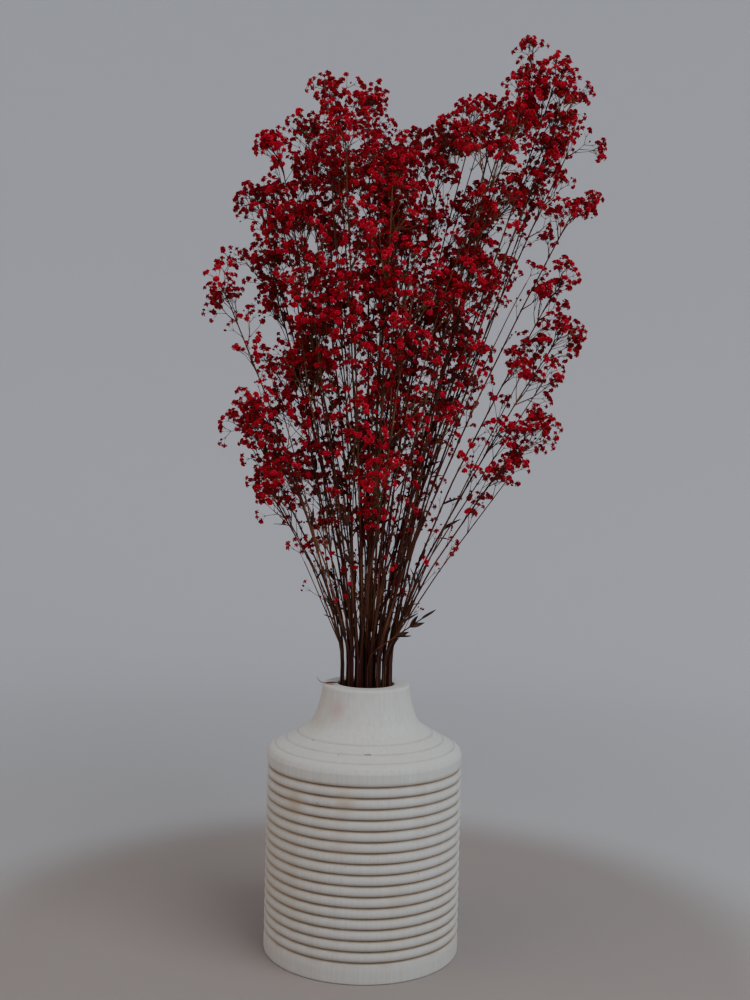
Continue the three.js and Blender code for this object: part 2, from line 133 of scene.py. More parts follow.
# Painted shade for the crowded stems near the vase
STEM_SHADE_TONE = (0.028, 0.008, 0.006)
LEAF_TONES = [(0.022, 0.008, 0.006), (0.075, 0.030, 0.017)]
FALLEN_LEAF_TONES = [(0.055, 0.008, 0.007), (0.14, 0.030, 0.022)]

# Studio
FLOOR_TONE = (0.285, 0.25, 0.235)
WALL_TONE = (0.585, 0.595, 0.63)
WALL_LOW_TONE = (0.42, 0.42, 0.43)
FLOOR_FADE = (270, 400)
WALL_REACH = (350, 1400)
FLOOR_GAP = 0.1
STUDIO_SIDES = 96
LIGHT_TARGET = (0, 0, 350)

# Stems: where they stand and how they run
SEAT_GAP = 0.3
NECK_Z = 228
LEVEL_STEP = 66
RING_RADII = [3, 8.5, 13.9, 19.3]
RING_COUNTS = [3, 7, 11, 16]
STEM_SPACING = 5.2
STEM_STRAY = 5
STEM_BOW = (1.15, 1.35)
LAST_LEVEL_SHARE = 0.35
SPREAD_ROUNDS = 60

# The main limbs, as the solids have them
STEM_RADIUS = 1.5
BRANCH_RADIUS = 0.85
TWIG_RADIUS = 0.5
SIDES = 3
HEAD_RADIUS = 5.4
HEAD_LENGTH = 6.4
HEAD_CROWN = 0.3
BRANCH_NODES = [26, 60, 102, 152]
BRANCH_LENGTHS = [25, 40, 52, 60]
BRANCH_SHORTEST = 18.5
BRANCH_SPACING_LEAST = 0.55
BRANCH_FLOOR_Z = 290
BRANCH_TILT = 0.66
BRANCH_LIFT = 0.24
BRANCH_BEND = 0.45
TWIG_TILT = 0.75
TWIG_LENGTH = 18
TWIG_SHORTEST = 10.5
TWIG_SMALLEST_SHARE = 0.5
TWIG_PAIR_SHARE = 0.7
TWIG_NODES = [0.38, 0.74]
TWIG_REACH = 34
NODE_SPREAD = (0.85, 1.15)
WIDE_SPREAD = (0.8, 1.2)
TWIG_NODE_SPREAD = (0.92, 1.08)
TWIG_SPREAD = (0.8, 1.25)
TRIES = 13
SHRINK_STEP = 0.03
CLEARANCE = 0.5
CELL = 24
TINY = 1e-6

# Leaves of the leafy stems and the fallen leaf, as the solids have them
LEAF_LENGTH = 13
LEAF_WIDTH = 3.6
LEAF_THICKNESS = 0.8
LEAF_ARCH = 1.6
LEAF_TILT = 0.7
TIP_LEAF_TILT = 0.15
LEAF_TURN = 0.5
LEAF_NODES = [4, 15, 28, 44]
FALLEN_LEAF = {"x": -31.5, "y": -8, "bearing": -0.4, "length": 11, "width": 3.4, "arch": 1.4}
FALLEN_STALK = [(-34.4, -8.6, 204.9), (-36.2, -9.4, 206.6), (-37.4, -10, 209.2)]

# Tips of the sprays that the outline shows: x, y, z, and how full each is
OUTLINE_SPRAYS = [
    (136, 0, 672, 0.6),
    (120, 10, 686, 0.3),
    (142, -10, 650, 0.35),
    (152, 10, 628, 0.45),
    (150, -15, 570, 0.2),
    (140, -10, 514, 0.3),
    (142, -10, 474, 0.65),
    (124, -10, 404, 0.65),
    (-116, -10, 506, 0.2),
    (-84, -20, 416, 0.6),
    (-96, 10, 402, 0.5),
    (-76, -10, 350, 0.5),
    (-92, 10, 578, 0.9),
    (-74, -20, 608, 0.9),
    (-56, 20, 632, 0.9),
    (-86, 20, 534, 0.9),
    (-64, 0, 446, 0.9),
    (-34, 0, 662, 0.7),
    (-8, 20, 656, 0.8),
    (-24, -40, 620, 1),
    (8, -20, 614, 1),
    (34, 40, 634, 1),
    (52, -10, 628, 1),
    (78, 30, 654, 1),
    (98, -30, 634, 1),
    (102, 0, 648, 0.6),
    (98, 15, 590, 1),
    (76, 10, 462, 0.7),
    (-58, -30, 556, 1),
    (76, -20, 532, 1),
]
FILL_MIDDLE_X = 12
FILL_REACH_SPREAD = (0.85, 1.15)
FILL_HEIGHT_SPREAD = 38
FILL_TIERS = [
    {"reach": 38, "height": 584, "count": 2, "turn": 1.2},
    {"reach": 50, "height": 500, "count": 3, "turn": 0.4},
]
LEAFY_TIPS = [
    (44, -22, 259),
    (-18, -36, 340),
]

# Whole numbers that tell the random draws apart
MASK = 0xFFFFFFFF
KEY = {
    "tier": 100,
    "side": 800,
    "roll": 801,
    "leafTurn": 802,
    "bow": 900,
    "strayX": 901,
    "strayY": 902,
    "plant": 5000,
    "floret": 7000,
}

# The fine growth that the solids leave out
OWN_REACH = 24
BOUQUET_REACH = 11
FINE_TRIES = 6
FINE_SHRINK = 0.85
SOFT_BEND = 9
TWIG_SOFT_BEND = 3
CORNER_SHARE = 0.4
NODE_SWELLING = 1.35
NODE_SWELLING_REACH = 2.2
PARTNER_SHARE = (0.6, 0.95)
PARTNER_TILT = (0.42, 0.62)
PARTNER_TWIG_LENGTH = (TWIG_LENGTH * 0.7, TWIG_LENGTH * 1.1)
EXTRA_TWIG_PLACE = (0.35, 0.8)
EXTRA_TWIG_LENGTH = (12, 19)
FINE_TILT = (0.4, 0.65)
SHOOT_NODES = [14, 36, 62, 90, 120, 152, 186]
SHOOT_LENGTHS = [17, 24, 30, 34, 36, 38, 38]
SHOOT_SPREAD = (0.9, 1.1)
SHOOT_TWIG_PLACE = 0.45
SHOOT_TWIG_SHORTEST = 11
CYME_DROP = 12.5
CYME_DROP_SHARE = 0.66
CYME_REACH = 6.1
CYME_ARM_SHARE = 0.85
CYME_TILT = (0.45, 0.78)
CYME_LOSS = 0.1
SMALL_CYME_SHARE = 0.65
MIDDLE_TILT = 0.3
MIDDLE_SHARE = 0.8
ARM_STRAY = (-0.4, 0.4)
HEAD_TILT = 0.5
THRIFT = 0.12
FULL_SPRAY = 0.85
BUD_SHARE = 0.13
FLORET_SIZE = (4.4, 5.7)
BUD_SIZE = (1.5, 2.2)
PEDICEL_RADIUS = 0.24
SPIKE_SINK = 0.8
ARM_RADIUS = 0.25
COMPANION_GAP = (2.4, 4.2)
COMPANION_SPREAD = (9, 17)
COMPANION_WELL_REACH = 19.6
COMPANION_TOP = (25, 120)
COMPANION_TOP_SHARE = 0.8
COMPANION_TURN = 0.6
COMPANION_FIRST_FORK = (24, 32)
COMPANION_FORK_Z = 292
COMPANION_FORK_REACH = 290
COMPANION_FORK_STEP = 29
COMPANION_FORK_LENGTH = (16, 34)
LOW_TWIG_Z = 252
LOW_TWIG_STEP = 30
LOW_TWIG_LENGTH = (8, 22)
LOW_TWIG_SPREAD = (0.7, 1.3)
LOW_BUD_SHARE = 0.7
NECK_TWIG_COUNT = 4
NECK_TWIG_Z = (212, 262)
NECK_TWIG_TILT = (0.15, 0.5)
NECK_TWIG_LENGTH = (18, 46)
NECK_TWIG_LIFT = 0.2
NECK_TWIG_SOFT_BEND = 4
LOW_LEAF_COUNT = 4
LOW_LEAF_Z = (236, 400)
LOW_LEAF_LENGTH = (9, 19)
LOW_LEAF_TILT = (0.25, 0.95)
LOW_LEAF_ARCH = (-0.35, 0.1)
LOW_LEAF_WIDTH = (0.16, 0.26)
LOW_LEAF_TOP = 30
BRACT_LENGTH = (2.6 * 0.7, 2.6 * 1.3)
BRACT_TILT = (0.5, 1.0)
BRACT_HALF_WIDTH = 0.35
BRACT_FOLD = 0.16

# Fine tubes: radius at the foot, radius at the end, and sides
STEM_TUBE = (1.2, 0.5, 6)
COMPANION_TUBE = (0.85, 0.4, 5)
BRANCH_TUBE = (0.52, 0.34, 5)
TWIG_TUBE = (0.32, 0.24, 4)
FINE_TWIG_TUBE = (0.3, 0.22, 4)
SHOOT_TUBE = (0.36, 0.26, 4)
SHOOT_TWIG_TUBE = (0.26, 0.22, 4)
LOW_TWIG_TUBE = (0.28, 0.2, 4)
NECK_TWIG_TUBE = (0.36, 0.16, 4)
STALK_TUBE = (0.3, 0.15, 4)

# Rings of petals from outside in: how many, tilt above level, length and width for a floret 1 across
PETAL_RINGS = [
    (5, 0.0, 0.50, 0.46),
    (5, 0.55, 0.47, 0.42),
    (4, 1.12, 0.40, 0.36),
]
PETAL_RING_RISE = 0.02
PETAL_STRAY = (-0.25, 0.25)
PETAL_LEAN = (-0.22, 0.22)
PETAL_SPREAD = (0.85, 1.1)
PETAL_FOLD = (0.07, 0.13)
PETAL_SHOULDER = 0.78
CALYX_HEIGHT = 0.36
CALYX_PROFILE = [(0, 0), (0.15, CALYX_HEIGHT), (0, CALYX_HEIGHT + 0.1)]
BUD_PROFILE = [(0, 0), (0.38, 0.35), (0.44, 0.85), (0, 1.35)]
FLORET_KINDS = 6

# Fine leaves
LEAF_STEPS = 7
LEAF_HALF_THICKNESS = 0.22
LEAF_FOLD = 0.35
LEAF_RIPPLE = 0.25


def draw(*keys):
    """A repeatable draw between 0 and 1 for whole-number keys."""
    value = 2166136261
    for key in keys:
        value = ((value ^ (key + 1)) * 2654435761) & MASK
        value ^= value >> 15
        value = (value * 2246822519) & MASK
        value ^= value >> 13
    return value / 4294967296


def draw_between(low, high, *keys):
    return low + (high - low) * draw(*keys)


# Plain vector arithmetic on tuples


def plus(a, b, scale=1.0):
    return (a[0] + b[0] * scale, a[1] + b[1] * scale, a[2] + b[2] * scale)


def minus(a, b):
    return (a[0] - b[0], a[1] - b[1], a[2] - b[2])


def times(a, scale):
    return (a[0] * scale, a[1] * scale, a[2] * scale)


def dot(a, b):
    return a[0] * b[0] + a[1] * b[1] + a[2] * b[2]


def cross(a, b):
    return (a[1] * b[2] - a[2] * b[1], a[2] * b[0] - a[0] * b[2], a[0] * b[1] - a[1] * b[0])


def size_of(a):
    return sqrt(dot(a, a))


def unit(a):
    return times(a, 1 / size_of(a))


def distance(a, b):
    return size_of(minus(a, b))


def turned(a, b, angle):
    """A direction turned by an angle from one toward another square to it."""
    return plus(times(a, cos(angle)), b, sin(angle))


def any_side(axis):
    """A direction square to an axis."""
    aside = (1, 0, 0) if abs(axis[0]) < 0.7 else (0, 1, 0)
    return unit(plus(aside, axis, -dot(aside, axis)))


def tilted(axis, bearing, angle):
    """A direction tilted away from an axis, toward a bearing round it."""
    across = any_side(axis)
    return turned(axis, turned(across, cross(axis, across), bearing), angle)


# Where each stem runs


def fill_tips():
    """Tips of the sprays that fill the front and the back, on half turns round the middle."""
    tips = []
    for tier, spec in enumerate(FILL_TIERS):
        for index in range(spec["count"]):
            side = -1 if index % 2 == 0 else 1
            share = (index // 2 + 0.5) / (spec["count"] / 2)
            angle = side * (spec["turn"] + share * (pi - 2 * spec["turn"]))
            reach = spec["reach"] * draw_between(*FILL_REACH_SPREAD, KEY["tier"] + tier, index, 0)
            rise = draw_between(-FILL_HEIGHT_SPREAD, FILL_HEIGHT_SPREAD, KEY["tier"] + tier, index, 1)
            x = reach * cos(angle) + FILL_MIDDLE_X
            tips.append((x, reach * sin(angle), spec["height"] + rise, 1))
    return tips


def seat_stems(tips):
    """Seats every stem in a ring of the well, on the side where its tip is in the bouquet."""
    bearings = [atan2(y, x) for x, y, *_ in tips]
    leans = [hypot(x, y) / (z - NECK_Z) for x, y, z, _ in tips]
    order = sorted(range(len(tips)), key=leans.__getitem__)
    feet = {}
    for radius, count in zip(RING_RADII, RING_COUNTS):
        members = sorted(order[:count], key=bearings.__getitem__)
        del order[:count]
        step = 2 * pi / len(members)
        turns = [bearings[stem] - place * step for place, stem in enumerate(members)]
        phase = atan2(sum(map(sin, turns)), sum(map(cos, turns)))
        for place, stem in enumerate(members):
            angle = phase + place * step
            feet[stem] = (radius * cos(angle), radius * sin(angle))
    return feet


def run_stems(tips):
    """Each stem's chain: foot, neck, then one point at every level up to its tip."""
    feet = seat_stems(tips)
    chains = []
    for stem, (*tip, _) in enumerate(tips):
        foot = feet[stem]
        rise = tip[2] - NECK_Z
        chain = [[*foot, WELL_FLOOR_Z + SEAT_GAP], [*foot, NECK_Z]]
        bow = draw_between(*STEM_BOW, stem, KEY["bow"])
        for level in range(1, floor(rise / LEVEL_STEP - LAST_LEVEL_SHARE) + 1):
            share = level * LEVEL_STEP / rise
            stray = STEM_STRAY * share * (1 - share)
            place = []
            for axis, key in enumerate((KEY["strayX"], KEY["strayY"])):
                bent = foot[axis] + (tip[axis] - foot[axis]) * share ** bow
                place.append(bent + stray * draw_between(-1, 1, stem, key, level))
            chain.append([*place, NECK_Z + level * LEVEL_STEP])
        chains.append(chain + [tip])
    spread_stems(chains)
    return [[tuple(point) for point in chain] for chain in chains]


def spread_stems(chains):
    """Pushes stems apart, level by level, until they clear each other."""
    for _ in range(SPREAD_ROUNDS):
        for first, second in itertools.combinations(chains, 2):
            for one, other in list(zip(first[:-1], second[:-1]))[2:]:
                away = (other[0] - one[0], other[1] - one[1])
                lack = STEM_SPACING - hypot(*away)
                if lack > 0:
                    for axis in (0, 1):
                        push = away[axis] / hypot(*away) * lack / 2
                        one[axis] -= push
                        other[axis] += push


# Clearance between the main limbs of different stems

grid = {}


def cells_of(capsule):
    start, end, radius = capsule
    reach = radius + CLEARANCE
    spans = []
    for a, b in zip(start, end):
        spans.append(range(floor((min(a, b) - reach) / CELL), floor((max(a, b) + reach) / CELL) + 1))
    return itertools.product(*spans)


def occupy(stem, capsule):
    for cell in cells_of(capsule):
        grid.setdefault(cell, []).append((stem, capsule))


def clamp(value):
    return min(1, max(0, value))


def stretch_gap(first, second):
    """Shortest distance between two straight stretches."""
    u = minus(first[1], first[0])
    v = minus(second[1], second[0])
    w = minus(first[0], second[0])
    a = dot(u, u)
    b = dot(u, v)
    c = dot(v, v)
    d = dot(u, w)
    e = dot(v, w)
    spread = a * c - b * b
    guess = clamp((b * e - c * d) / spread) if spread > TINY else 0
    t = clamp((b * guess + e) / c)
    s = clamp((b * t - d) / a)
    return size_of(plus(plus(w, u, s), v, -t))


def is_clear(stem, capsules):
    for capsule in capsules:
        for cell in cells_of(capsule):
            for other_stem, other in grid.get(cell, ()):
                reach = capsule[2] + other[2] + CLEARANCE
                if other_stem != stem and stretch_gap(capsule, other) < reach:
                    return False
    return True


def chain_capsules(chain, radius):
    return [(start, end, radius) for start, end in zip(chain, chain[1:])]


def head_capsule(chain):
    axis = unit(minus(chain[-1], chain[-2]))
    crown = plus(chain[-1], axis, -HEAD_LENGTH * HEAD_CROWN)
    return (plus(chain[-1], axis, -HEAD_LENGTH / 2), crown, HEAD_RADIUS)


# Growth of the main limbs


def chain_length(chain):
    return sum(distance(a, b) for a, b in zip(chain, chain[1:]))


def point_back(limb, back):
    """The point a distance back from the end of a limb, and the directions of its stretch there."""
    chain = limb["chain"]
    link = len(chain) - 1
    while link > 1 and back > distance(chain[link], chain[link - 1]):
        back -= distance(chain[link], chain[link - 1])
        link -= 1
    along = unit(minus(chain[link], chain[link - 1]))
    outward = unit(plus(limb["outward"], along, -dot(limb["outward"], along)))
    point = plus(chain[link], along, -back)
    return {"point": point, "along": along, "across": cross(along, outward), "outward": outward}


def fork_limb(root, bearing, angle, lift, length):
    """A child limb that leaves its parent on a bearing round it, and lifts once if it has a lift."""
    normal = turned(root["across"], root["outward"], bearing)
    chain = [root["point"]]
    for bend, share in ((0, BRANCH_BEND), (lift, 1 - BRANCH_BEND)) if lift > 0 else ((0, 1),):
        chain.append(plus(chain[-1], turned(root["along"], normal, angle - bend), length * share))
    return {"chain": chain, "outward": turned(times(normal, -1), root["along"], angle)}


def place_limb(stem, first_side, root, angle, lift, length, radius):
    """Tries the three sides and shorter lengths until a limb with a head clears every other stem."""
    for attempt in range(TRIES):
        bearing = pi / 6 + (first_side + attempt) * 2 * pi / SIDES
        limb = fork_limb(root, bearing, angle, lift, length * (1 - SHRINK_STEP * attempt))
        capsules = chain_capsules(limb["chain"], radius) + [head_capsule(limb["chain"])]
        if is_clear(stem, capsules):
            for capsule in capsules:
                occupy(stem, capsule)
            return limb
    return None


def make_trunk(stem, chain):
    roll = draw(stem, KEY["roll"]) * 2 * pi
    return {"chain": chain, "outward": (cos(roll), sin(roll), 0)}


def spray_squeeze(trunk):
    """How much closer together the branches of a low spray stand."""
    return min(1, (trunk["chain"][-1][2] - BRANCH_FLOOR_Z) / BRANCH_NODES[-1])


def grow_spray(stem, trunk, fullness):
    """The branches of a spray, each with its distance below the tip and its twigs, and the tip's twigs."""
    branches = []
    first_side = floor(draw(stem, KEY["side"]) * SIDES)
    squeeze = spray_squeeze(trunk)
    spacing = max(fullness, BRANCH_SPACING_LEAST)
    grown = max(sqrt(fullness * squeeze), TWIG_SMALLEST_SHARE)
    for node, back in enumerate(BRANCH_NODES):
        below = back * spacing * squeeze * draw_between(*NODE_SPREAD, stem, node, 1)
        full = BRANCH_LENGTHS[node] * fullness * sqrt(squeeze)
        length = max(full * draw_between(*WIDE_SPREAD, stem, node, 2), BRANCH_SHORTEST)
        root = point_back(trunk, below)
        limb = place_limb(stem, first_side + node, root, BRANCH_TILT, BRANCH_LIFT, length, BRANCH_RADIUS)
        if limb:
            twigs = grow_twigs(stem, node, limb, grown)
            branches.append({"below": below, "root": root, "limb": limb, "twigs": twigs})
    return branches, grow_twigs(stem, len(BRANCH_NODES), trunk, grown)


def grow_twigs(stem, node, branch, grown):
    """Forks near the end of a branch."""
    twigs = []
    for place, share in enumerate(TWIG_NODES[:1] if grown < TWIG_PAIR_SHARE else TWIG_NODES):
        reach = min(chain_length(branch["chain"]), TWIG_REACH)
        root = point_back(branch, reach * share * draw_between(*TWIG_NODE_SPREAD, stem, node, place, 3))
        length = max(TWIG_LENGTH * grown * draw_between(*TWIG_SPREAD, stem, node, place, 4), TWIG_SHORTEST)
        side = place + floor(draw(stem, node, place, 5) * SIDES)
        twigs.append(place_limb(stem, side, root, TWIG_TILT, 0, length, TWIG_RADIUS))
    return [twig for twig in twigs if twig]


def grow_leaves(stem, trunk):
    """Pairs of leaves up a short stem, and one at its tip."""
    turn = draw(stem, KEY["leafTurn"]) * pi
    leaves = [place_leaf(stem, point_back(trunk, LEAF_NODES[0]), turn, TIP_LEAF_TILT)]
    for node, back in enumerate(LEAF_NODES[1:], 1):
        for side in (0, pi):
            bearing = turn + node * pi / 2 + side
            leaves.append(place_leaf(stem, point_back(trunk, back), bearing, LEAF_TILT))
    return [leaf for leaf in leaves if leaf]


def place_leaf(stem, root, first_bearing, angle):
    """Tries bearings and shorter lengths until a leaf clears every other stem."""
    for attempt in range(TRIES):
        length = LEAF_LENGTH * (1 - SHRINK_STEP * attempt)
        aside = turned(root["across"], root["outward"], first_bearing + attempt * LEAF_TURN)
        along = turned(root["along"], aside, angle)
        capsule = (root["point"], plus(root["point"], along, length), LEAF_WIDTH / 2 + LEAF_THICKNESS)
        if is_clear(stem, [capsule]):
            occupy(stem, capsule)
            face = turned(times(aside, -1), root["along"], angle)
            return (root["point"], along, face, length, LEAF_WIDTH, LEAF_ARCH)
    return None


# Fine growth


class Limbs:
    """Straight stretches of limbs, which can say how far a point lies from the nearest."""

    def __init__(self, chains):
        stretches = np.array([pair for chain in chains for pair in zip(chain, chain[1:])])
        self.starts = stretches[:, 0]
        self.runs = stretches[:, 1] - self.starts
        self.squares = np.sum(self.runs ** 2, axis=1)

    def gap(self, point):
        offsets = point - self.starts
        shares = np.clip(np.sum(offsets * self.runs, axis=1) / self.squares, 0, 1)
        return np.min(np.linalg.norm(offsets - self.runs * shares[:, None], axis=1))


class Plant:
    """The tubes, heads and blades of one stem, drawn within the reach of the main limbs."""

    def __init__(self, stem, fullness, own_limbs, all_limbs):
        self.stem = stem
        self.fullness = fullness
        self.own_limbs = own_limbs
        self.all_limbs = all_limbs
        self.count = 0
        self.tubes = []
        self.spikes = []
        self.florets = []
        self.buds = []
        self.leaves = []
        self.bracts = []

    def draw(self, low=0.0, high=1.0):
        """The next draw of this plant's own series."""
        self.count += 1
        return draw_between(low, high, KEY["plant"] + self.stem, self.count)

    def draw_turn(self):
        return self.draw(0, 2 * pi)

    def thrives(self):
        """Whether one more limb grows: nearly always on a full stem, seldom on a sparse one."""
        return self.draw() < self.fullness + THRIFT

    def small_depth(self):
        """How often a small cyme forks: once or twice."""
        return 2 if self.draw() < self.fullness * SMALL_CYME_SHARE else 1

    def fork(self, root, angle, lift, length):
        """A fine limb, on the first of a few bearings that keeps it near the main limbs."""
        for attempt in range(FINE_TRIES):
            limb = fork_limb(root, self.draw_turn(), angle, lift, length * FINE_SHRINK ** attempt)
            end = limb["chain"][-1]
            if self.own_limbs.gap(end) < OWN_REACH and self.all_limbs.gap(end) < BOUQUET_REACH:
                break
        return limb


def runs_of(points):
    """How far along a chain each of its points lies."""
    runs = [0]
    for a, b in zip(points, points[1:]):
        runs.append(runs[-1] + distance(a, b))
    return runs


def tapered(points, foot, end, sides):
    """What draws a tube: its points, its radii from foot to end, and its sides."""
    runs = runs_of(points)
    return points, [foot + (end - foot) * run / runs[-1] for run in runs], sides


def cut_back(chain):
    """A chain without the stretch that its cyme takes up, and the direction of its end."""
    direction = unit(minus(chain[-1], chain[-2]))
    drop = min(CYME_DROP, distance(chain[-1], chain[-2]) * CYME_DROP_SHARE)
    return chain[:-1] + [plus(chain[-1], direction, -drop)], direction


def soften(chain, reach):
    """Rounds the corners of a chain."""
    points = [chain[0]]
    for last, corner, following in zip(chain, chain[1:], chain[2:]):
        before = minus(last, corner)
        after = minus(following, corner)
        cut = min(reach, size_of(before) * CORNER_SHARE, size_of(after) * CORNER_SHARE)
        near = plus(corner, unit(before), cut)
        far = plus(corner, unit(after), cut)
        points += [near, times(plus(plus(near, far), corner, 2), 0.25), far]
    return points + [chain[-1]]


def grow_cyme(plant, point, direction, depth, reach, bud_share=BUD_SHARE):
    """A small forked head: a stalk, a pair of arms at its fork, and a floret at every end."""
    end = plus(point, direction, reach * plant.draw(*TWIG_SPREAD))
    if depth == 0:
        plant.spikes.append((point, end))
        add_head(plant, end, direction, bud_share)
        return
    plant.tubes.append(([point, end], [ARM_RADIUS, ARM_RADIUS], 3))
    middle = tilted(direction, plant.draw_turn(), plant.draw(0, MIDDLE_TILT))
    grow_cyme(plant, end, middle, 0, reach * MIDDLE_SHARE, bud_share)
    bearing = plant.draw_turn()
    for side in (0, pi):
        if plant.draw() > CYME_LOSS:
            toward = bearing + side + plant.draw(*ARM_STRAY)
            arm = tilted(direction, toward, plant.draw(*CYME_TILT))
            grow_cyme(plant, end, arm, depth - 1, reach * CYME_ARM_SHARE, bud_share)


def add_head(plant, point, direction, bud_share):
    """A bud or a floret: the number of its model, then its place, facing, size and spin."""
    facing = tilted(direction, plant.draw_turn(), plant.draw(0, HEAD_TILT))
    if plant.draw() < bud_share:
        plant.buds.append((FLORET_KINDS, point, facing, plant.draw(*BUD_SIZE), 0))
    else:
        size = plant.draw(*FLORET_SIZE)
        kind = plant.draw() * FLORET_KINDS
        plant.florets.append((int(kind), point, facing, size, 2 * pi * (kind % 1)))


def add_bracts(plant, root):
    """A pair of tiny dry bracts where a stem forks."""
    bearing = plant.draw_turn()
    for side in (0, pi):
        along = tilted(root["along"], bearing + side, plant.draw(*BRACT_TILT))
        plant.bracts.append((root["point"], along, plant.draw(*BRACT_LENGTH)))


def end_in_cyme(plant, limb, tube, depth=2, bud_share=BUD_SHARE):
    """Draws a limb up to the neck of its cyme, then the cyme."""
    chain, direction = cut_back(limb["chain"])
    plant.tubes.append(tapered(soften(chain, TWIG_SOFT_BEND), *tube))
    grow_cyme(plant, chain[-1], direction, depth, CYME_REACH, bud_share)


def grow_branch(plant, limb, twigs):
    """Draws a branch with its twigs, and one or three more small ones."""
    end_in_cyme(plant, limb, BRANCH_TUBE)
    for twig in twigs:
        end_in_cyme(plant, twig, TWIG_TUBE)
    for _ in range(3 if plant.fullness > FULL_SPRAY else 1):
        root = point_back(limb, chain_length(limb["chain"]) * plant.draw(*EXTRA_TWIG_PLACE))
        twig = plant.fork(root, plant.draw(*FINE_TILT), 0, plant.draw(*EXTRA_TWIG_LENGTH))
        end_in_cyme(plant, twig, FINE_TWIG_TUBE, plant.small_depth())
        add_bracts(plant, root)


def grow_partner(plant, branch):
    """The branch that stands opposite one of the main branches, with twigs of its own."""
    length = chain_length(branch["limb"]["chain"]) * plant.draw(*PARTNER_SHARE)
    partner = plant.fork(branch["root"], plant.draw(*PARTNER_TILT), BRANCH_LIFT, length)
    twigs = []
    for share in TWIG_NODES:
        root = point_back(partner, min(length, TWIG_REACH) * share)
        twigs.append(plant.fork(root, plant.draw(*FINE_TILT), 0, plant.draw(*PARTNER_TWIG_LENGTH)))
    grow_branch(plant, partner, twigs)
    add_bracts(plant, branch["root"])


def grow_shoots(plant, trunk, knots, reach):
    """Slender shoots between the main branches."""
    for back, full in zip(SHOOT_NODES, SHOOT_LENGTHS):
        if plant.thrives():
            knots.append(back * reach * plant.draw(*SHOOT_SPREAD))
            length = full * sqrt(reach) * plant.draw(*WIDE_SPREAD)
            root = point_back(trunk, knots[-1])
            shoot = plant.fork(root, plant.draw(*FINE_TILT), BRANCH_LIFT, length)
            end_in_cyme(plant, shoot, SHOOT_TUBE)
            root = point_back(shoot, length * SHOOT_TWIG_PLACE)
            twig = plant.fork(root, plant.draw(*FINE_TILT), 0, max(SHOOT_TWIG_SHORTEST, length / 2))
            end_in_cyme(plant, twig, SHOOT_TWIG_TUBE, plant.small_depth())


def grow_low_twigs(plant, trunk, knots, lowest_branch):
    """Short twigs with buds and a few florets up the bare part of a stem."""
    height = LOW_TWIG_Z + plant.draw(0, LOW_TWIG_STEP)
    below = chain_length(trunk["chain"]) - (height - WELL_FLOOR_Z)
    while below > lowest_branch:
        knots.append(below)
        root = point_back(trunk, below)
        twig = plant.fork(root, plant.draw(*FINE_TILT), 0, plant.draw(*LOW_TWIG_LENGTH))
        end_in_cyme(plant, twig, LOW_TWIG_TUBE, 1, LOW_BUD_SHARE)
        add_bracts(plant, root)
        below -= LOW_TWIG_STEP * plant.draw(*LOW_TWIG_SPREAD)


def grow_neck_twigs(plant, trunk):
    """Thin bare twigs that cross the bundle just above the vase."""
    total = chain_length(trunk["chain"])
    for _ in range(NECK_TWIG_COUNT):
        root = point_back(trunk, total - (plant.draw(*NECK_TWIG_Z) - WELL_FLOOR_Z))
        twig = plant.fork(root, plant.draw(*NECK_TWIG_TILT), NECK_TWIG_LIFT, plant.draw(*NECK_TWIG_LENGTH))
        plant.tubes.append(tapered(soften(twig["chain"], NECK_TWIG_SOFT_BEND), *NECK_TWIG_TUBE))


def grow_low_leaves(plant, trunk):
    """Dry leaves that still hang at the low nodes."""
    total = chain_length(trunk["chain"])
    for _ in range(LOW_LEAF_COUNT):
        root = point_back(trunk, max(LOW_LEAF_TOP, total - (plant.draw(*LOW_LEAF_Z) - WELL_FLOOR_Z)))
        along = tilted(root["along"], plant.draw_turn(), plant.draw(*LOW_LEAF_TILT))
        face = unit(plus(root["along"], along, -dot(root["along"], along)))
        length = plant.draw(*LOW_LEAF_LENGTH)
        arch = length * plant.draw(*LOW_LEAF_ARCH)
        width = length * plant.draw(*LOW_LEAF_WIDTH)
        plant.leaves.append((root["point"], along, face, length, width, arch))


def companion_chain(plant, trunk):
    """A route beside a trunk: close to it in the well, and wandering round it above."""
    bearing = plant.draw_turn()
    gap = plant.draw(*COMPANION_GAP)
    spread = plant.draw(*COMPANION_SPREAD)
    points = []
    for index, (x, y, z) in enumerate(trunk["chain"]):
        in_well = index < 2
        offset = gap if in_well else spread * (0.35 + 0.65 * index / len(trunk["chain"]))
        x += offset * cos(bearing + index * COMPANION_TURN)
        y += offset * sin(bearing + index * COMPANION_TURN)
        inside = min(1, COMPANION_WELL_REACH / hypot(x, y)) if in_well else 1
        points.append((x * inside, y * inside, z))
    return points


def grow_companion(plant, trunk):
    """A thinner stem that stands beside the trunk, forks often and flowers up its length."""
    points = companion_chain(plant, trunk)
    direction = unit(minus(points[-1], points[-2]))
    drop = min(plant.draw(*COMPANION_TOP), distance(points[-1], points[-2]) * COMPANION_TOP_SHARE)
    points[-1] = plus(points[-1], direction, -drop)
    companion = {"chain": points, "outward": (cos(1), sin(1), 0)}
    knots = []
    below = plant.draw(*COMPANION_FIRST_FORK)
    total = chain_length(points)
    while below < min(total - (COMPANION_FORK_Z - WELL_FLOOR_Z), COMPANION_FORK_REACH * plant.fullness ** 2):
        knots.append(below)
        root = point_back(companion, below)
        for _ in range(2):
            length = sqrt(plant.fullness) * plant.draw(*COMPANION_FORK_LENGTH)
            twig = plant.fork(root, plant.draw(*FINE_TILT), 0, length)
            end_in_cyme(plant, twig, FINE_TWIG_TUBE, plant.small_depth())
        add_bracts(plant, root)
        below += COMPANION_FORK_STEP * plant.draw(*WIDE_SPREAD)
    grow_stem(plant, points, knots, *COMPANION_TUBE)


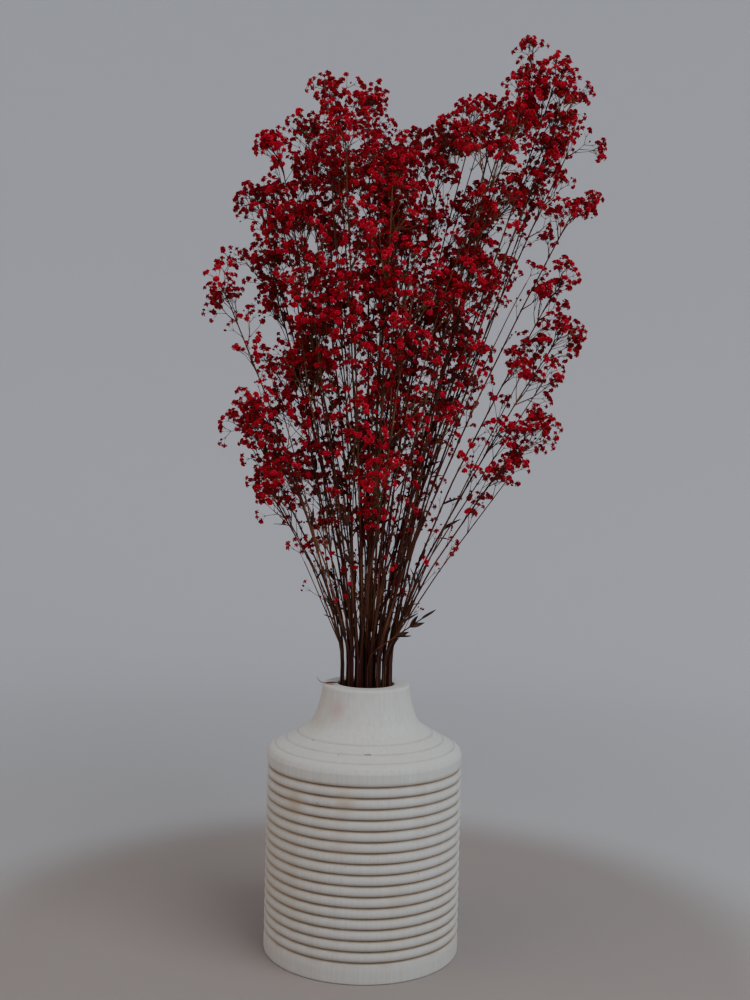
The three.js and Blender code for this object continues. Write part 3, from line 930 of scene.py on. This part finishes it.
def grow_stem(plant, chain, knots, foot, end, sides, flowers=True):
    """Draws a stem with a swelling at each of its forks, given as distances below its tip."""
    full = chain_length(chain)
    if flowers:
        chain, direction = cut_back(chain)
    points = soften(chain, SOFT_BEND)
    runs = runs_of(points)
    swellings = {run: 1.0 for run in runs}
    for middle in [full - knot for knot in knots]:
        swellings[middle - NODE_SWELLING_REACH] = 1.0
        swellings[middle] = NODE_SWELLING
        swellings[middle + NODE_SWELLING_REACH] = 1.0
    marks = sorted(mark for mark in swellings if 0 <= mark <= runs[-1])
    line = np.array(points)
    places = np.stack([np.interp(marks, runs, line[:, axis]) for axis in range(3)], 1)
    radii = [(foot + (end - foot) * mark / runs[-1]) * swellings[mark] for mark in marks]
    plant.tubes.append((places, radii, sides))
    if flowers:
        grow_cyme(plant, chain[-1], direction, 2, CYME_REACH)


def dress_spray(plant, trunk, branches, tip_twigs):
    """The whole fine drawing of a spray, grown on its main limbs."""
    reach = plant.fullness * spray_squeeze(trunk)
    knots = [branch["below"] for branch in branches]
    for twig in tip_twigs:
        end_in_cyme(plant, twig, TWIG_TUBE)
    for branch in branches:
        grow_branch(plant, branch["limb"], branch["twigs"])
        if plant.thrives():
            grow_partner(plant, branch)
    grow_shoots(plant, trunk, knots, reach)
    grow_low_twigs(plant, trunk, knots, BRANCH_NODES[-1] * reach)
    grow_low_leaves(plant, trunk)
    grow_companion(plant, trunk)
    grow_neck_twigs(plant, trunk)
    grow_stem(plant, trunk["chain"], knots, *STEM_TUBE)


# Meshes


def make_object(name, vertices, faces, materials, smooth):
    """A mesh object from arrays of points in millimetres and of triangles."""
    mesh = bpy.data.meshes.new(name)
    vertices = np.asarray(vertices, dtype=np.float32) * MM
    faces = np.asarray(faces, dtype=np.int32)
    mesh.vertices.add(len(vertices))
    mesh.vertices.foreach_set("co", vertices.ravel())
    mesh.loops.add(faces.size)
    mesh.loops.foreach_set("vertex_index", faces.ravel())
    mesh.polygons.add(len(faces))
    mesh.polygons.foreach_set("loop_start", np.arange(0, faces.size, 3, dtype=np.int32))
    mesh.polygons.foreach_set("use_smooth", np.full(len(faces), smooth))
    for material in materials:
        mesh.materials.append(material)
    mesh.update(calc_edges=True)
    made = bpy.data.objects.new(name, mesh)
    bpy.context.scene.collection.objects.link(made)
    return made


def make_piece(name, shape, materials, smooth=False):
    """A piece of the part, which rides on its one body."""
    piece = make_object(name, *shape, materials, smooth)
    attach(piece, "root")
    return piece


def join_parts(parts):
    """One vertex array and one face array from many."""
    starts = np.cumsum([0] + [len(vertices) for vertices, _ in parts])
    faces = [part[1] + start for part, start in zip(parts, starts)]
    return np.vstack([vertices for vertices, _ in parts]), np.vstack(faces)


def quad(a, b, c, d):
    return [(a, b, c), (a, c, d)]


def ring_faces(rings, sides, first=0):
    """Triangles between rings of points that follow each other."""
    faces = []
    for link in range(rings - 1):
        for side in range(sides):
            a = first + link * sides + side
            b = first + link * sides + (side + 1) % sides
            faces += quad(a, b, b + sides, a + sides)
    return faces


def ring_points(profile, sides):
    """Rings of points round the vertical axis, one for each radius and height of a profile."""
    angles = np.arange(sides) * 2 * pi / sides
    return [(radius * cos(a), radius * sin(a), height) for radius, height in profile for a in angles]


def lathe(profile, sides):
    """A closed turned form from a profile that starts and ends on the axis."""
    vertices = [(0, 0, profile[0][1])] + ring_points(profile[1:-1], sides) + [(0, 0, profile[-1][1])]
    last = len(vertices) - 1
    faces = ring_faces(len(profile) - 2, sides, 1)
    for side in range(sides):
        following = (side + 1) % sides
        faces.append((0, 1 + following, 1 + side))
        faces.append((last - sides + side, last - sides + following, last))
    return np.array(vertices), np.array(faces)


def tube_mesh(points, radii, sides):
    """A closed tube round a chain of points."""
    line = np.array(points, dtype=float)
    steps = np.diff(line, axis=0)
    steps /= np.linalg.norm(steps, axis=1)[:, None]
    tangents = np.vstack([steps[:1], steps[:-1] + steps[1:], steps[-1:]])
    tangents /= np.linalg.norm(tangents, axis=1)[:, None]
    aside = np.eye(3)[np.argmin(np.abs(line[-1] - line[0]))]
    across = aside - tangents * (tangents @ aside)[:, None]
    across /= np.linalg.norm(across, axis=1)[:, None]
    outward = np.cross(tangents, across)
    angles = (np.arange(sides) * 2 * pi / sides)[None, :, None]
    ring = across[:, None] * np.cos(angles) + outward[:, None] * np.sin(angles)
    vertices = (line[:, None] + ring * np.array(radii)[:, None, None]).reshape(-1, 3)
    faces = ring_faces(len(line), sides)
    last = (len(line) - 1) * sides
    for side in range(1, sides - 1):
        faces.append((0, side + 1, side))
        faces.append((last, last + side, last + side + 1))
    return vertices, np.array(faces)


def spike_mesh(point, end):
    """A closed three-sided stalk that narrows to nothing inside what it carries."""
    axis = unit(minus(end, point))
    across = any_side(axis)
    ring = []
    for bearing in (0, 2 * pi / 3, 4 * pi / 3):
        ring.append(plus(point, turned(across, cross(axis, across), bearing), PEDICEL_RADIUS))
    tip = plus(end, axis, SPIKE_SINK)
    return np.array(ring + [tip]), np.array([(0, 2, 1), (0, 1, 3), (1, 2, 3), (2, 0, 3)])


def petal(bearing, tilt, length, width, fold):
    """A closed broad petal, folded along its middle: root, two shoulders and tip."""
    shoulder = PETAL_SHOULDER * length
    outline = np.array([(0, 0, 0), (shoulder, -width / 2, fold), (length, 0, 0), (shoulder, width / 2, fold)])
    up = np.array((0.0, 0.0, 1.0))
    out = np.array((cos(bearing), sin(bearing), 0.0))
    along = out * cos(tilt) + up * sin(tilt)
    normal = up * cos(tilt) - out * sin(tilt)
    vertices = outline @ np.array([along, np.cross(normal, along), normal])
    return vertices, np.array([(0, 1, 2), (0, 2, 3), (0, 3, 1), (1, 3, 2)])


def floret_model(kind):
    """A double floret 1 across, standing on its calyx: vertices, faces, and which faces are calyx."""
    parts = []
    for ring, (count, tilt, length, width) in enumerate(PETAL_RINGS):
        for index in range(count):
            key = (KEY["floret"] + kind, ring, index)
            bearing = 2 * pi * (index + 0.5 * ring) / count + draw_between(*PETAL_STRAY, *key, 0)
            lean = tilt + draw_between(*PETAL_LEAN, *key, 1)
            reach = length * draw_between(*PETAL_SPREAD, *key, 2)
            vertices, faces = petal(bearing, lean, reach, width, draw_between(*PETAL_FOLD, *key, 3))
            parts.append((vertices + (0, 0, CALYX_HEIGHT + PETAL_RING_RISE * ring), faces))
    petals = sum(len(faces) for _, faces in parts)
    parts.append(lathe(CALYX_PROFILE, 4))
    vertices, faces = join_parts(parts)
    return vertices, faces, np.arange(len(faces)) >= petals


def bud_model():
    """A closed bud 1 across, taller than wide, which counts as calyx."""
    vertices, faces = lathe(BUD_PROFILE, 4)
    return vertices, faces, np.full(len(faces), True)


def stand(vertices, point, facing, size, spin):
    """The points of a model scaled, spun and stood on a place."""
    along = np.array(facing)
    across = np.array(any_side(facing))
    outward = np.cross(along, across)
    first = across * cos(spin) + outward * sin(spin)
    second = outward * cos(spin) - across * sin(spin)
    return vertices @ np.array([first, second, along]) * size + np.array(point)


def leaf_mesh(foot, along, face, length, width, arch):
    """A dry lance-shaped leaf, folded along its midrib and rippled, with thickness."""
    foot, along, face = map(np.array, (foot, along, face))
    across = np.cross(along, face)
    top = []
    for step in range(LEAF_STEPS + 1):
        share = step / LEAF_STEPS
        half = width / 2 * max(0.06, sin(pi * share ** 0.8) ** 0.85)
        for side in (-1, 0, 1):
            rise = arch * share ** 2
            if side:
                rise += LEAF_FOLD * half + LEAF_RIPPLE * sin(7 * share + side) * half / width
            top.append(foot + along * (share * length) + across * (side * half) + face * rise)
    under = len(top)
    faces = []
    for row in range(0, LEAF_STEPS * 3, 3):
        for a in (row, row + 1):
            faces += quad(a, a + 3, a + 4, a + 1)
            faces += quad(a + under, a + 1 + under, a + 4 + under, a + 3 + under)
        faces += quad(row, row + under, row + 3 + under, row + 3)
        faces += quad(row + 2, row + 5, row + 5 + under, row + 2 + under)
    for a in (0, 1):
        b = a + LEAF_STEPS * 3
        faces += quad(a, a + 1, a + 1 + under, a + under)
        faces += quad(b, b + under, b + 1 + under, b + 1)
    sheet = face * LEAF_HALF_THICKNESS
    return np.vstack([np.array(top) + sheet, np.array(top) - sheet]), np.array(faces)


def bract_mesh(point, along, length):
    """A tiny closed blade."""
    base = np.array(point)
    side = np.array(any_side(along))
    face = np.cross(along, side) * BRACT_FOLD
    side *= BRACT_HALF_WIDTH
    tip = base + np.array(along) * length
    middle = base + np.array(along) * length * 0.4
    vertices = np.array([base, middle + side, middle - side, middle + face, tip])
    return vertices, np.array([(0, 1, 3), (0, 3, 2), (0, 2, 1), (4, 3, 1), (4, 2, 3), (4, 1, 2)])


# Vase


def catmull_rom(points, steps):
    """A smooth curve through the points, sampled evenly in its parameter."""
    line = np.array([points[0], *points, points[-1]], dtype=float)
    curve = []
    for step in range(steps + 1):
        place = step / steps * (len(points) - 1)
        index = min(int(place), len(points) - 2)
        t = place - index
        p0, p1, p2, p3 = line[index:index + 4]
        v0 = (p2 - p0) / 2
        v1 = (p3 - p1) / 2
        cube = (2 * p1 - 2 * p2 + v0 + v1) * t ** 3
        square = (-3 * p1 + 3 * p2 - 2 * v0 - v1) * t ** 2
        curve.append(tuple(cube + square + v0 * t + p1))
    return curve


def arc(centre, radius, start, end, steps):
    """Points on a circle in the profile plane, angles in degrees."""
    angles = np.radians(np.linspace(start, end, steps + 1))
    return [(centre[0] + radius * cos(a), centre[1] + radius * sin(a)) for a in angles]


def groove_profile(middle):
    """One cut groove from below: a soft bevel in, a narrow floor, and a crisp upper edge."""
    land = VASE_RADIUS - LAND_CROWN
    bottom = VASE_RADIUS - GROOVE_DEPTH
    return [
        (land, middle - GROOVE_WIDTH / 2 + 0.05),
        (land - 0.45, middle - GROOVE_WIDTH * 0.22),
        (bottom + 0.3, middle + GROOVE_WIDTH * 0.14),
        (bottom, middle + GROOVE_WIDTH * 0.26),
        (bottom + 0.1, middle + GROOVE_WIDTH * 0.36),
        (VASE_RADIUS - LAND_CROWN * 1.3, middle + GROOVE_WIDTH / 2 - 0.08),
    ]


def land_profile(low, high, crown_low, crown_high):
    """The rounded wood between two grooves, from low to high."""
    points = []
    for share in LAND_SHARES:
        crown = crown_low if share < 0.5 else crown_high
        points.append((VASE_RADIUS - crown * abs(2 * share - 1) ** LAND_POWER, low + (high - low) * share))
    return points


def vase_profile():
    """Radius and height, from the middle of the base up the outside and down the well."""
    profile = [(0, 0), (VASE_RADIUS - BASE_FLAT_INSET, 0)]
    profile += arc((VASE_RADIUS - BASE_CHAMFER, BASE_CHAMFER), BASE_CHAMFER, -90, 0, 5)
    middles = [TOP_GROOVE_Z - count * GROOVE_PITCH for count in range(GROOVE_COUNT - 1, -1, -1)]
    profile += land_profile(BASE_CHAMFER + 2, middles[0] - GROOVE_WIDTH / 2, 0, LAND_CROWN)
    for middle in middles:
        profile += groove_profile(middle)
        low = middle + GROOVE_WIDTH / 2
        if middle < TOP_GROOVE_Z:
            profile += land_profile(low, low + GROOVE_PITCH - GROOVE_WIDTH, LAND_CROWN, LAND_CROWN)
        else:
            profile += land_profile(low, SHOULDER_CURVE[0][1] - 0.6, LAND_CROWN, 0)
    for radius, height in catmull_rom(SHOULDER_CURVE, SHOULDER_STEPS):
        ring = sum(exp(-((radius - place) / TURNING_RING_WIDTH) ** 2) for place in TURNING_RINGS)
        profile.append((radius, height - TURNING_RING_DEPTH * ring))
    profile += arc((RIM_RADIUS - RIM_ROUNDING, VASE_HEIGHT - RIM_ROUNDING), RIM_ROUNDING, 0, 90, 6)
    profile += arc((WELL_RADIUS + WELL_ROUNDING, VASE_HEIGHT - WELL_ROUNDING), WELL_ROUNDING, 90, 180, 5)
    profile += [(WELL_RADIUS, height) for height in WELL_HEIGHTS]
    return profile + [(0, WELL_FLOOR_Z)]


# Materials


class Shader:
    """A small helper that builds a material's nodes."""

    def __init__(self, name):
        self.material = bpy.data.materials.new(name)
        self.material.use_nodes = True
        self.tree = self.material.node_tree
        self.place = self.node("TexCoord", {}, "Object")

    def feed(self, made, inputs):
        """Links or sets the inputs of a node."""
        for name, value in inputs.items():
            if isinstance(value, bpy.types.NodeSocket):
                self.tree.links.new(value, made.inputs[name])
            else:
                made.inputs[name].default_value = value

    def node(self, kind, inputs, output=0, **settings):
        """Adds a node and returns one of its outputs."""
        made = self.tree.nodes.new("ShaderNode" + kind)
        for name, value in settings.items():
            setattr(made, name, value)
        self.feed(made, inputs)
        return made.outputs[output]

    def math(self, operation, *values):
        return self.node("Math", dict(enumerate(values)), operation=operation)

    def product(self, first, *others):
        for other in others:
            first = self.math("MULTIPLY", first, other)
        return first

    def noise(self, stretch, scale, detail=3.0, roughness=0.55):
        place = self.node("Mapping", {"Vector": self.place, "Scale": stretch})
        inputs = {"Vector": place, "Scale": scale, "Detail": detail, "Roughness": roughness}
        return self.node("TexNoise", inputs, "Fac")

    def ramp(self, value, low, high, start=0.0, end=1.0):
        inputs = {"Value": value, "From Min": low, "From Max": high, "To Min": start, "To Max": end}
        return self.node("MapRange", inputs, interpolation_type="SMOOTHSTEP")

    def mix(self, share, first, second):
        """One colour over another."""
        inputs = {"Factor": share}
        for socket, tone in ((6, first), (7, second)):
            inputs[socket] = tone if isinstance(tone, bpy.types.NodeSocket) else (*tone, 1)
        return self.node("Mix", inputs, 2, data_type="RGBA")

    def radius_and_height(self):
        """The distance from the vertical axis and the height, in millimetres."""
        x, y, z = (self.math("DIVIDE", self.node("SeparateXYZ", {0: self.place}, axis), MM) for axis in "XYZ")
        return self.math("SQRT", self.math("ADD", self.product(x, x), self.product(y, y))), z

    def near(self, point, reach):
        """1 at a place on the object, given in millimetres, fading to 0 at a distance from it."""
        inputs = {0: self.place, 1: times(point, MM)}
        away = self.node("VectorMath", inputs, "Value", operation="DISTANCE")
        return self.ramp(away, reach * MM, 0)

    def bump(self, height, strength, depth):
        normal = self.node("Bump", {"Height": height, "Strength": strength, "Distance": depth})
        self.feed(self.tree.nodes["Principled BSDF"], {"Normal": normal})

    def finish(self, color, roughness, gloss=0.5):
        inputs = {"Base Color": color, "Roughness": roughness, "Specular IOR Level": gloss}
        self.feed(self.tree.nodes["Principled BSDF"], inputs)
        return self.material


def groove_share(shader, radius, height):
    """1 in the cut grooves of the vase's side, 0 elsewhere."""
    return shader.product(
        shader.ramp(radius, VASE_RADIUS - LAND_CROWN, VASE_RADIUS - LAND_CROWN - 0.9),
        shader.ramp(height, TOP_GROOVE_Z + 4, TOP_GROOVE_Z + 3),
        shader.ramp(height, 5, 8),
        shader.ramp(radius, 60, 65),
    )


def add_stains_and_left_shade(shader, color, blotch, broad):
    """The pink dye stain, the yellowish and tan patches, a broad painted shade over the left side, and the
    dark specks of the wash.
    """
    for place, reach, most, tone in STAINS_AND_LEFT_SHADE:
        share = shader.product(shader.near(place, reach), shader.ramp(blotch, 0.3, 0.7, most * 0.4, most))
        color = shader.mix(share, color, tone)
    for place, reach in SPECKS:
        share = shader.product(shader.near(place, reach), shader.ramp(broad, 0.2, 0.5, 0.8, 1.0))
        color = shader.mix(share, color, SPECK_TONE)
    cells = {"Vector": shader.place, "Scale": DOT_SCALE}
    chance = shader.node("SeparateColor", {0: shader.node("TexVoronoi", cells, "Color")})
    dots = shader.ramp(shader.node("TexVoronoi", cells, "Distance"), 0.08, 0.04)
    return shader.mix(shader.product(dots, shader.ramp(chance, 0.90, 0.93, 0, 0.6)), color, SPECK_TONE)


def add_turning_lines_and_land_shade(shader, color, radius, height, broad):
    """Darker fine rings on the shoulder, and painted shade along the lower edge of each land."""
    fade = shader.ramp(broad, 0.3, 0.6, 0.3, 0.7)
    on_shoulder = shader.ramp(height, 156, 157)
    for place in TURNING_RINGS:
        away = shader.math("ABSOLUTE", shader.math("SUBTRACT", radius, place))
        line = shader.product(shader.ramp(away, 1.1, 0.2), fade, on_shoulder)
        color = shader.mix(line, color, RING_LINE_TONE)
    # Painted shade: each land darkens towards the groove just below it
    pitches = shader.math("DIVIDE", shader.math("SUBTRACT", height, TOP_GROOVE_Z), GROOVE_PITCH)
    phase = shader.math("FRACT", shader.math("ADD", pitches, GROOVE_COUNT))
    painted_land_shade = shader.product(
        shader.ramp(phase, 0.5, 0.12, 0, 0.6),
        shader.ramp(height, TOP_GROOVE_Z + 5, TOP_GROOVE_Z + 3.5),
        shader.ramp(height, 13, 15),
    )
    return shader.mix(painted_land_shade, color, LAND_SHADE_TONE)


def wood_material():
    """Whitewashed turned wood: an even wash over fine vertical grain, bare and brownish in the grooves."""
    shader = Shader("whitewashed_wood")
    fine = shader.noise((1, 1, 0.05), 520, 5, 0.6)
    broad = shader.noise((1, 1, 0.15), 70, 4, 0.6)
    blotch = shader.noise((1, 1, 0.7), 20)
    radius, height = shader.radius_and_height()
    color = shader.mix(shader.ramp(fine, 0.3, 0.7), *WASH_TONES)
    color = shader.mix(shader.ramp(broad, 0.5, 0.8, 0, 0.3), color, GRAIN_TONE)
    color = shader.mix(shader.ramp(blotch, 0.45, 0.8, 0, 0.35), color, BLOTCH_TONE)
    edge = shader.product(
        shader.ramp(radius, VASE_RADIUS - 0.05, VASE_RADIUS - LAND_CROWN),
        shader.ramp(radius, 70, 72),
        shader.ramp(height, TOP_GROOVE_Z + 4, TOP_GROOVE_Z + 2),
        shader.ramp(broad, 0.3, 0.65, 0.15, 0.6),
    )
    color = shader.mix(edge, color, EDGE_TONE)
    color = add_turning_lines_and_land_shade(shader, color, radius, height, broad)
    worn = shader.product(groove_share(shader, radius, height), shader.ramp(blotch, 0.3, 0.65, 0.6, 1.0))
    color = add_stains_and_left_shade(shader, shader.mix(worn, color, GROOVE_TONE), blotch, broad)
    well = shader.ramp(radius, WELL_RADIUS + 0.8, WELL_RADIUS + 0.2)
    color = shader.mix(shader.product(well, shader.ramp(height, 203, 199)), color, WELL_TONE)
    shader.bump(fine, 0.25, 0.0003)
    return shader.finish(color, shader.ramp(broad, 0.3, 0.7, 0.62, 0.8))


def petal_material():
    """Dyed papery petals, each its own shade of crimson."""
    shader = Shader("dyed_petal")
    island = shader.node("NewGeometry", {}, "Random Per Island")
    patch = shader.ramp(shader.noise((1, 1, 1), 30, 2), 0.4, 0.68, 0.0, 0.5)
    color = shader.mix(patch, shader.mix(island, *PETAL_TONES), PETAL_DARK_TONE)
    shader.bump(shader.noise((1, 1, 1), 2400, 2), 0.4, 0.0003)
    return shader.finish(color, 0.8, 0.12)


def calyx_material():
    """Dry dark brown of calyx and bud, tinted by the dye."""
    shader = Shader("dry_calyx")
    patch = shader.ramp(shader.noise((1, 1, 1), 260, 2), 0.35, 0.65)
    return shader.finish(shader.mix(patch, *CALYX_TONES), 0.8, 0.15)


def stem_material():
    """Dry stems from maroon-brown to brown, with fine lengthwise streaks, and painted shade near the vase
    where they crowd together.
    """
    shader = Shader("dried_stem")
    streak = shader.noise((1, 1, 0.06), 700)
    patch = shader.noise((1, 1, 0.35), 38)
    color = shader.mix(shader.ramp(patch, 0.42, 0.68), *STEM_TONES)
    color = shader.mix(shader.ramp(streak, 0.4, 0.7, 0, 0.6), color, STREAK_TONE)
    height = shader.radius_and_height()[1]
    # Painted shade on the crowded stems low down, near the vase
    color = shader.mix(shader.ramp(height, 300, 215, 0, 0.6), color, STEM_SHADE_TONE)
    shader.bump(streak, 0.5, 0.0002)
    return shader.finish(color, 0.7, 0.15)


def leaf_material(name, tones):
    """A dry leaf, darker and lighter in patches along it."""
    shader = Shader(name)
    patch = shader.noise((1, 1, 0.5), 120, 4)
    shader.bump(patch, 0.5, 0.0004)
    return shader.finish(shader.mix(shader.ramp(patch, 0.35, 0.7), *tones), 0.72, 0.2)


def studio_material():
    """A pale beige floor round the vase that turns cool grey further out."""
    shader = Shader("plain_studio")
    radius = shader.radius_and_height()[0]
    wall = shader.mix(shader.ramp(radius, *WALL_REACH), WALL_LOW_TONE, WALL_TONE)
    return shader.finish(shader.mix(shader.ramp(radius, *FLOOR_FADE), FLOOR_TONE, wall), 0.85)


# Building the pieces


def build_vase():
    shape = lathe(vase_profile(), VASE_SIDES)
    piece = make_piece("turned_vase", shape, [wood_material()], True)
    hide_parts("vase")


def build_flowers(plant, node, looks):
    """The florets and buds of one stem, each a copy of a model."""
    parts = []
    tones = []
    for kind, *place in plant.florets + plant.buds:
        vertices, faces, is_calyx = looks["heads"][kind]
        parts.append((stand(vertices, *place), faces))
        tones.append(is_calyx)
    flowers = make_piece(node + "_florets", join_parts(parts), [looks["petal"], looks["calyx"]])
    flowers.data.polygons.foreach_set("material_index", np.concatenate(tones).astype(np.int32))
    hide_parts(node)


def build_plant(plant, node, looks):
    """The pieces of one stem: its tubes, its heads and its blades, in place of its solid."""
    parts = [tube_mesh(*tube) for tube in plant.tubes]
    parts += [spike_mesh(*spike) for spike in plant.spikes]
    parts += [bract_mesh(*bract) for bract in plant.bracts]
    stems = make_piece(node + "_stems", join_parts(parts), [looks["stem"]])
    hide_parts(node)
    if plant.florets or plant.buds:
        build_flowers(plant, node, looks)
    if plant.leaves:
        shape = join_parts([leaf_mesh(*leaf) for leaf in plant.leaves])
        blades = make_piece(node + "_leaves", shape, [looks["leaf"]], True)
        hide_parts(node)


def build_bouquet():
    """Grows the main limbs of every spray, then the fine growth of every stem."""
    looks = {
        "stem": stem_material(),
        "leaf": leaf_material("dried_leaf", LEAF_TONES),
        "fallen": leaf_material("fallen_leaf", FALLEN_LEAF_TONES),
        "petal": petal_material(),
        "calyx": calyx_material(),
        "heads": [floret_model(kind) for kind in range(FLORET_KINDS)] + [bud_model()],
    }
    sprays = OUTLINE_SPRAYS + fill_tips()
    chains = run_stems(sprays + [(*tip, 0) for tip in LEAFY_TIPS])
    for stem, chain in enumerate(chains):
        for capsule in chain_capsules(chain, STEM_RADIUS):
            occupy(stem, capsule)
    for stem in range(len(sprays)):
        occupy(stem, head_capsule(chains[stem]))
    grown = []
    for stem, (*_, fullness) in enumerate(sprays):
        trunk = make_trunk(stem, chains[stem])
        branches, tip_twigs = grow_spray(stem, trunk, fullness)
        limbs = [trunk] + tip_twigs
        for branch in branches:
            limbs += [branch["limb"]] + branch["twigs"]
        grown.append((trunk, branches, tip_twigs, [cut_back(limb["chain"])[0] for limb in limbs]))
    all_limbs = Limbs([chain for item in grown for chain in item[3]])
    for stem, (trunk, branches, tip_twigs, own_chains) in enumerate(grown):
        plant = Plant(stem, sprays[stem][3], Limbs(own_chains), all_limbs)
        dress_spray(plant, trunk, branches, tip_twigs)
        build_plant(plant, f"spray_{stem + 1:02d}", looks)
    for index in range(len(LEAFY_TIPS)):
        stem = len(sprays) + index
        trunk = make_trunk(stem, chains[stem])
        plant = Plant(stem, 0, all_limbs, all_limbs)
        plant.leaves += grow_leaves(stem, trunk)
        grow_stem(plant, trunk["chain"], LEAF_NODES[1:], *STEM_TUBE, False)
        build_plant(plant, f"leafy_stem_{index + 1:02d}", looks)
    build_fallen_leaf(looks)


def build_fallen_leaf(looks):
    """The dry leaf on the rim, with its bent stalk."""
    spec = FALLEN_LEAF
    foot = (spec["x"], spec["y"], VASE_HEIGHT + SEAT_GAP + LEAF_THICKNESS / 2)
    along = (cos(spec["bearing"]), sin(spec["bearing"]), 0)
    stalk = tube_mesh(*tapered(soften([foot] + FALLEN_STALK, 1.5), *STALK_TUBE))
    blade = leaf_mesh(foot, along, (0, 0, 1), spec["length"], spec["width"], spec["arch"])
    piece = make_piece("fallen_dry_leaf", join_parts([blade, stalk]), [looks["fallen"]], True)
    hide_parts("fallen_leaf")


# Studio


def build_studio():
    """A pale floor that sweeps up into a plain wall all round, and soft lights."""
    profile = [(1, 0), (400, 0), (800, 0)]
    profile += arc((1000, 900), 900, -90, 0, 24)
    profile += [(1900, 1500), (1900, 2600)]
    vertices = np.array(ring_points(profile, STUDIO_SIDES)) - (0, 0, FLOOR_GAP)
    faces = np.array(ring_faces(len(profile), STUDIO_SIDES))[:, ::-1]
    floor = make_object("studio_floor", vertices, faces, [studio_material()], True)
    add_light("key_light", (900, -900, 1500), 1.4, 22, (0.95, 0.98, 1.0))
    add_light("side_light", (-1100, -500, 900), 1.2, 4.5, (1.0, 0.74, 0.5))
    world = bpy.data.worlds.new("studio")
    world.use_nodes = True
    world.node_tree.nodes["Background"].inputs[0].default_value = (0.80, 0.84, 0.90, 1)
    world.node_tree.nodes["Background"].inputs[1].default_value = 0.6
    bpy.context.scene.world = world


def add_light(name, place, size, power, tone):
    """A soft square lamp that faces the middle of the bouquet."""
    lamp = bpy.data.lights.new(name, "AREA")
    lamp.size = size
    lamp.energy = power
    lamp.color = tone
    holder = bpy.data.objects.new(name, lamp)
    holder.location = Vector(place) * MM
    holder.rotation_euler = (Vector(LIGHT_TARGET) - Vector(place)).to_track_quat("-Z", "Y").to_euler()
    bpy.context.scene.collection.objects.link(holder)


def build_camera():
    """The photograph's camera: its place, and its pitch, yaw and roll."""
    lens = bpy.data.cameras.new("photo_camera")
    lens.sensor_width = SENSOR_WIDTH
    lens.lens = SENSOR_WIDTH * CAMERA_FOCAL_PIXELS / PHOTO_LONG_SIDE
    camera = bpy.data.objects.new("photo_camera", lens)
    turn = Matrix.Rotation(-CAMERA_YAW, 4, "Z") @ Matrix.Rotation(pi / 2 + CAMERA_PITCH, 4, "X")
    turn @= Matrix.Rotation(CAMERA_ROLL, 4, "Z")
    camera.matrix_world = Matrix.Translation(Vector(CAMERA_PLACE) * MM) @ turn
    bpy.context.scene.collection.objects.link(camera)
    bpy.context.scene.camera = camera


build_camera()
build_vase()
build_bouquet()
build_studio()
